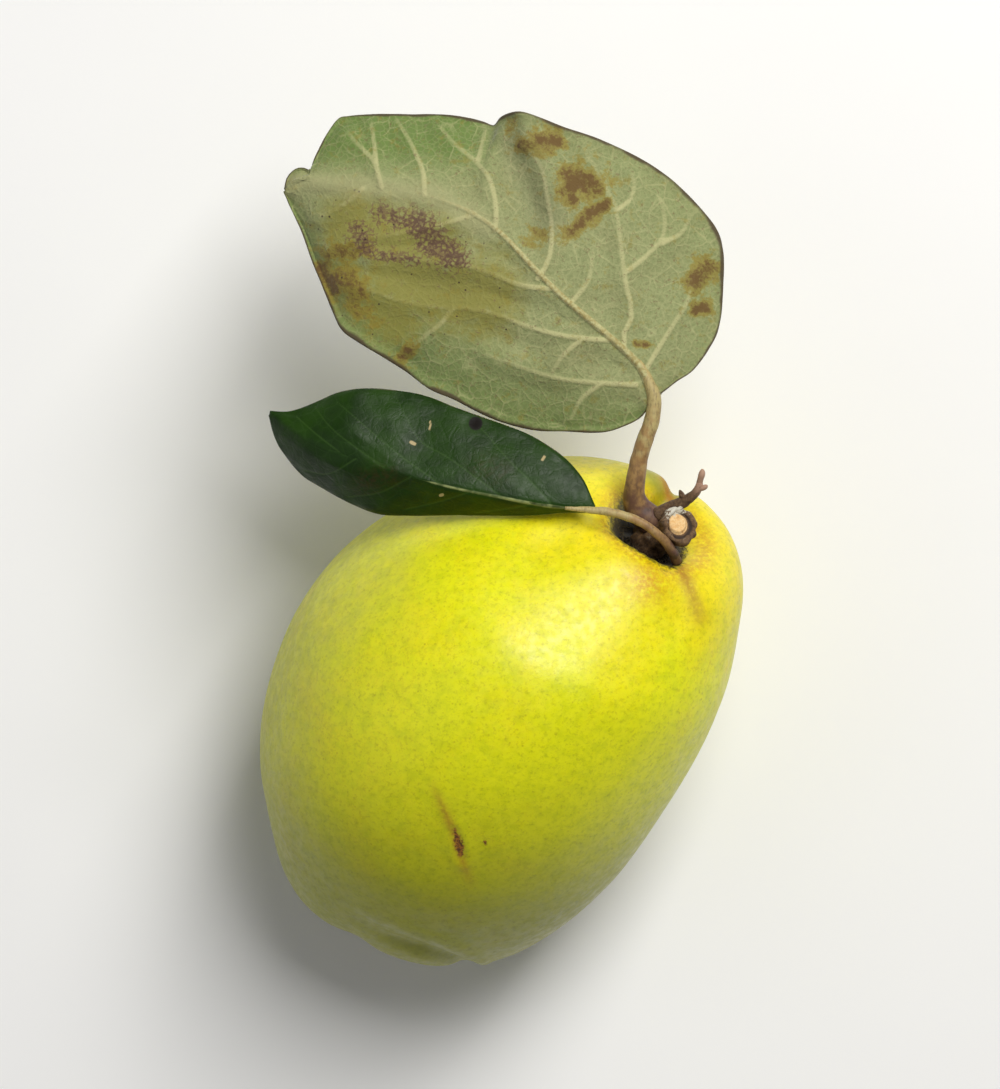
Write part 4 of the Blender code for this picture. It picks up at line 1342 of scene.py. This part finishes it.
def dried_finish(settings, name):
    """Dried, papery brown with darker creases and a little grey down."""
    f = Finish(name, 0.85, sheen=0.2)
    crease = f.noise(0.7, 4, rough=0.75)
    dried = f.mix(f.span(crease, 0.35, 0.7), settings.dried, (0.2, 0.115, 0.05))
    dried = f.mix(f.span(f.noise(1.8, 3, seed=2), 0.5, 0.75, 0.0, 0.7), dried, (0.025, 0.012, 0.008))
    dried = f.mix(f.span(f.noise(0.5, 3, seed=4), 0.6, 0.75, 0.0, 0.4), dried, (0.42, 0.36, 0.25))
    f.colour(dried)
    f.bump((crease, 0.14))
    return f.material


def ring_point(centre, axis, radius, angle):
    """A point of the ring round an axis."""
    side = np.cross(axis, (0.0, 0.0, 1.0))
    side /= np.linalg.norm(side)
    up = np.cross(side, axis)
    return centre + radius * (math.cos(angle) * side + math.sin(angle) * up)


def stamen_rows(number, stamens, foot, way):
    """The (x, y, z, radius) rows of one stamen of the ring, or of one of the five styles inside it."""
    inner = number >= stamens
    turn = math.tau / 5 if inner else math.tau / stamens
    angle = number * turn + 0.15 * math.sin(7 * number)
    radius = 0.5 if inner else 1.7 + 0.25 * math.sin(5 * number)
    reach = (4.4 if inner else 3.4) + 0.8 * math.sin(3 * number)
    spread = 1.2 + 0.5 * math.sin(2 * number)
    start = ring_point(foot, way, radius, angle)
    middle = ring_point(foot + way * reach * 0.55, way, radius * 1.25, angle + 0.2 * math.sin(number))
    end = ring_point(foot + way * reach, way, radius * spread, angle + 0.3)
    return [
        (*start, 0.2), (*middle, 0.14), (*(end - way * 0.35), 0.13), (*end, 0.3), (*(end + way * 0.3), 0.1),
    ]


def stamen_cushion(foot, way):
    """The low, rough cushion that the stamens and styles stand on."""
    start_clean()
    bpy.ops.mesh.primitive_uv_sphere_add(segments=28, ring_count=14, radius=2.3 * MM)
    cushion = bpy.context.object
    turn = Vector(way).to_track_quat("Z", "Y").to_matrix()
    points = points_of(cushion) * (1, 1, 0.42)
    points += 0.2 * noise_at(points, 0.9, 81)[:, None] * normals_of(cushion)
    set_points(cushion, points @ np.array(turn).T + foot + way * 0.3)
    return cushion


class QUINCE_OT_calyx(bpy.types.Operator):
    """Makes the five dried sepals and the tuft of stamens and styles between them."""

    bl_idname = "quince.calyx"
    bl_label = "Calyx"

    def execute(self, context):
        settings = context.scene.quince_calyx
        material = dried_finish(settings, "dried sepal")
        for number in range(1, 6):
            piece = copy_of_node(f"sepal_{number}", f"dried_sepal_{number}")
            subdivide_smoothly(piece, 3)
            points = points_of(piece)
            relief = 0.5 * noise_at(points, 2.2, 50 + number) + 0.14 * noise_at(points, 0.8, 60 + number)
            bend = np.array([noise_at(points, 5.0, 70 + number + axis) for axis in range(3)]).T
            set_points(piece, points + 0.8 * bend + normals_of(piece) * 0.35 * relief[:, None])
            finish(piece, [f"sepal_{number}"], "dried_calyx", material)
        self.tuft(settings)
        return {"FINISHED"}

    def tuft(self, settings):
        """Makes the stamens, the five styles and their cushion one piece."""
        centre, way = calyx_place()
        foot = centre - way * 2.4
        pieces = []
        for number in range(settings.stamens + 5):
            pieces.append(petiole(f"stamen_{number}", stamen_rows(number, settings.stamens, foot, way), 9))
        piece = join([stamen_cushion(foot, way)] + pieces, "dried_stamens")
        finish(piece, ["stamen_tuft"], "dried_calyx", dried_finish(settings, "dried stamens"))


# ---------------------------------------------------------------- down


def down_finish(name, dark, pale):
    """Soft, dull hairs between two colours."""
    f = Finish(name, 0.9)
    f.colour(f.mix(f.span(f.noise(1.2, 2), 0.35, 0.65), dark, pale))
    return f.material


def hair_ring(mesh, middle, lift, width):
    """Three new vertices round a hair's centre line."""
    side = np.cross(lift, (0.3, 0.5, 0.8))
    side /= np.linalg.norm(side)
    other = np.cross(lift, side)
    return [
        mesh.verts.new(middle + width * (math.cos(a) * side + math.sin(a) * other))
        for a in (0.0, math.tau / 3, 2 * math.tau / 3)
    ]


def add_hair(mesh, root, lift, curl, reach):
    """Adds one closed, three-sided, tapering hair to the mesh."""
    last = None
    for step_number in range(4):
        t = step_number / 3
        middle = root + lift * reach * t + curl * t * t * reach
        ring = hair_ring(mesh, middle, lift, 0.055 * (1.1 - t))
        if last:
            for k in range(3):
                mesh.faces.new((last[k], last[(k + 1) % 3], ring[(k + 1) % 3], ring[k]))
        else:
            mesh.faces.new(ring[::-1])
        last = ring
    mesh.faces.new(last)


def hair_tuft(name, centre, axis, radii, count, length, seed):
    """Fine curled hairs in a ring on the skin, each rooted where a ray along the axis meets it."""
    rng = np.random.default_rng(seed)
    tree_of = skin_tree()
    mesh = bmesh.new()
    for _ in range(count):
        angle = rng.uniform(0, math.tau)
        radius = rng.uniform(*radii)
        above = ring_point(centre, axis, radius, angle) + axis * 12
        hit = tree_of.ray_cast(Vector(above), Vector(-axis))
        if hit[0] is None:
            continue
        lift = np.array(hit[1]) + rng.normal(0, 0.45, 3)
        lift /= np.linalg.norm(lift)
        curl = rng.normal(0, 0.5, 3)
        add_hair(mesh, np.array(hit[0]), lift, curl, length * rng.uniform(0.6, 1.2))
    bmesh.ops.recalc_face_normals(mesh, faces=mesh.faces)
    mesh.transform(Matrix.Scale(MM, 4))
    data = bpy.data.meshes.new(name)
    mesh.to_mesh(data)
    mesh.free()
    piece = bpy.data.objects.new(name, data)
    bpy.context.scene.collection.objects.link(piece)
    return piece


def skin_tree():
    """The finished skin, for rays in millimetres."""
    skin = bpy.data.objects["quince_fruit"]
    return BVHTree.FromPolygons(
        [Vector(point) for point in points_of(skin)], [list(face.vertices) for face in skin.data.polygons]
    )


class QUINCE_OT_down(bpy.types.Operator):
    """Makes the brown down round the foot of the spur and the grey down in the calyx basin."""

    bl_idname = "quince.down"
    bl_label = "Down"

    def execute(self, context):
        count = context.scene.quince_calyx.hairs
        centre, way = calyx_place()
        brown = down_finish("brown down", (0.05, 0.035, 0.018), (0.17, 0.13, 0.07))
        grey = down_finish("grey down", (0.4, 0.36, 0.27), (0.6, 0.57, 0.47))
        for name, place, axis, radii, length, material in (
            ("stalk_down", stalk_foot(), -way, (2.6, 6.5), 1.3, brown),
            ("calyx_down", centre, way, (2.6, 9.0), 1.9, grey),
        ):
            piece = hair_tuft(name, place, axis, radii, count, length, 7)
            finish(piece, [], "dried_calyx", material)
        return {"FINISHED"}


# ---------------------------------------------------------------- stage


def area_light(name, place, target, size, power, colour):
    """Hangs a soft, square-cornered light at a place in metres, turned to the target."""
    light = bpy.data.lights.new(name, "AREA")
    light.shape = "RECTANGLE"
    light.size = size[0]
    light.size_y = size[1]
    light.energy = power
    light.color = colour
    lamp = bpy.data.objects.new(name, light)
    lamp.location = place
    lamp.rotation_euler = (Vector(target) - Vector(place)).to_track_quat("-Z", "Y").to_euler()
    bpy.context.scene.collection.objects.link(lamp)


def lay_floor(colour):
    """Lays the plain floor, a hair below the part, with a faint mottle."""
    start_clean()
    bpy.ops.mesh.primitive_plane_add(size=8, location=(0, 0, -0.0002))
    floor = bpy.context.object
    floor.name = "floor"
    f = Finish("pale floor", 0.75)
    f.colour(f.mix(f.span(f.noise(40, 2), 0.3, 0.7, 0.0, 0.06), colour, (0.8, 0.8, 0.8)))
    floor.data.materials.append(f.material)
    floor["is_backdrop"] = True


def light_from_all_round(scene, strength):
    """Gives the scene an even white world."""
    world = bpy.data.worlds.new("soft studio")
    world.use_nodes = True
    background = world.node_tree.nodes["Background"]
    background.inputs["Color"].default_value = (1.0, 1.0, 1.0, 1.0)
    background.inputs["Strength"].default_value = strength
    scene.world = world


def camera_above(scene, centre, settings):
    """Puts the camera straight above the centre, looking down."""
    camera = bpy.data.cameras.new("camera")
    camera.lens = settings.lens
    camera.clip_end = 50
    eye = bpy.data.objects.new("camera", camera)
    eye.location = (centre.x, centre.y, settings.distance)
    scene.collection.objects.link(eye)
    scene.camera = eye


class QUINCE_OT_stage(bpy.types.Operator):
    """Lays the plain floor, hangs the soft lights and puts the camera straight above."""

    bl_idname = "quince.stage"
    bl_label = "Stage"

    def execute(self, context):
        settings = context.scene.quince_stage
        low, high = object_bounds()
        centre = (Vector(low) + Vector(high)) / 2
        lay_floor(settings.floor)
        area_light("key", (0.27, 0.46, 0.85), centre, (0.34, 0.7), settings.key, (1.0, 0.985, 0.96))
        area_light("fill", (-0.7, -0.1, 0.6), centre, (0.7, 0.7), settings.key * 0.08, (0.96, 0.98, 1.0))
        light_from_all_round(context.scene, settings.sky)
        context.scene.view_settings.view_transform = "Standard"
        camera_above(context.scene, centre, settings)
        return {"FINISHED"}


# ---------------------------------------------------------------- panel and registration


class QUINCE_PT_panel(bpy.types.Panel):
    """Lists the operators and their settings."""

    bl_idname = "QUINCE_PT_panel"
    bl_label = "Quince"
    bl_space_type = "VIEW_3D"
    bl_region_type = "UI"
    bl_category = "Quince"

    def draw(self, context):
        for operator in OPERATORS:
            self.layout.operator(operator.bl_idname)
        for name, group in SETTINGS.items():
            box = self.layout.box()
            box.label(text=group.__doc__)
            for prop in group.__annotations__:
                box.prop(getattr(context.scene, name), prop)


SETTINGS = {
    "quince_fruit": FruitSettings,
    "quince_leaf": LeafSettings,
    "quince_wood": WoodSettings,
    "quince_calyx": CalyxSettings,
    "quince_stage": StageSettings,
}
OPERATORS = (
    QUINCE_OT_fruit, QUINCE_OT_spur, QUINCE_OT_bud_twig, QUINCE_OT_large_leaf, QUINCE_OT_small_leaf,
    QUINCE_OT_calyx, QUINCE_OT_down, QUINCE_OT_stage,
)


def register():
    """Registers the settings, the operators and the panel."""
    for kind in (*SETTINGS.values(), *OPERATORS, QUINCE_PT_panel):
        bpy.utils.register_class(kind)
    for name, group in SETTINGS.items():
        setattr(bpy.types.Scene, name, PointerProperty(type=group))


def unregister():
    """Takes back everything that register() added."""
    for name in SETTINGS:
        delattr(bpy.types.Scene, name)
    for kind in (QUINCE_PT_panel, *reversed(OPERATORS), *reversed(list(SETTINGS.values()))):
        bpy.utils.unregister_class(kind)


def main():
    """Builds every piece in turn."""
    register()
    bpy.ops.quince.fruit()
    bpy.ops.quince.spur()
    bpy.ops.quince.bud_twig()
    bpy.ops.quince.large_leaf()
    bpy.ops.quince.small_leaf()
    bpy.ops.quince.calyx()
    bpy.ops.quince.down()
    bpy.ops.quince.stage()
    start_clean()


if __name__ == "__main__":
    main()
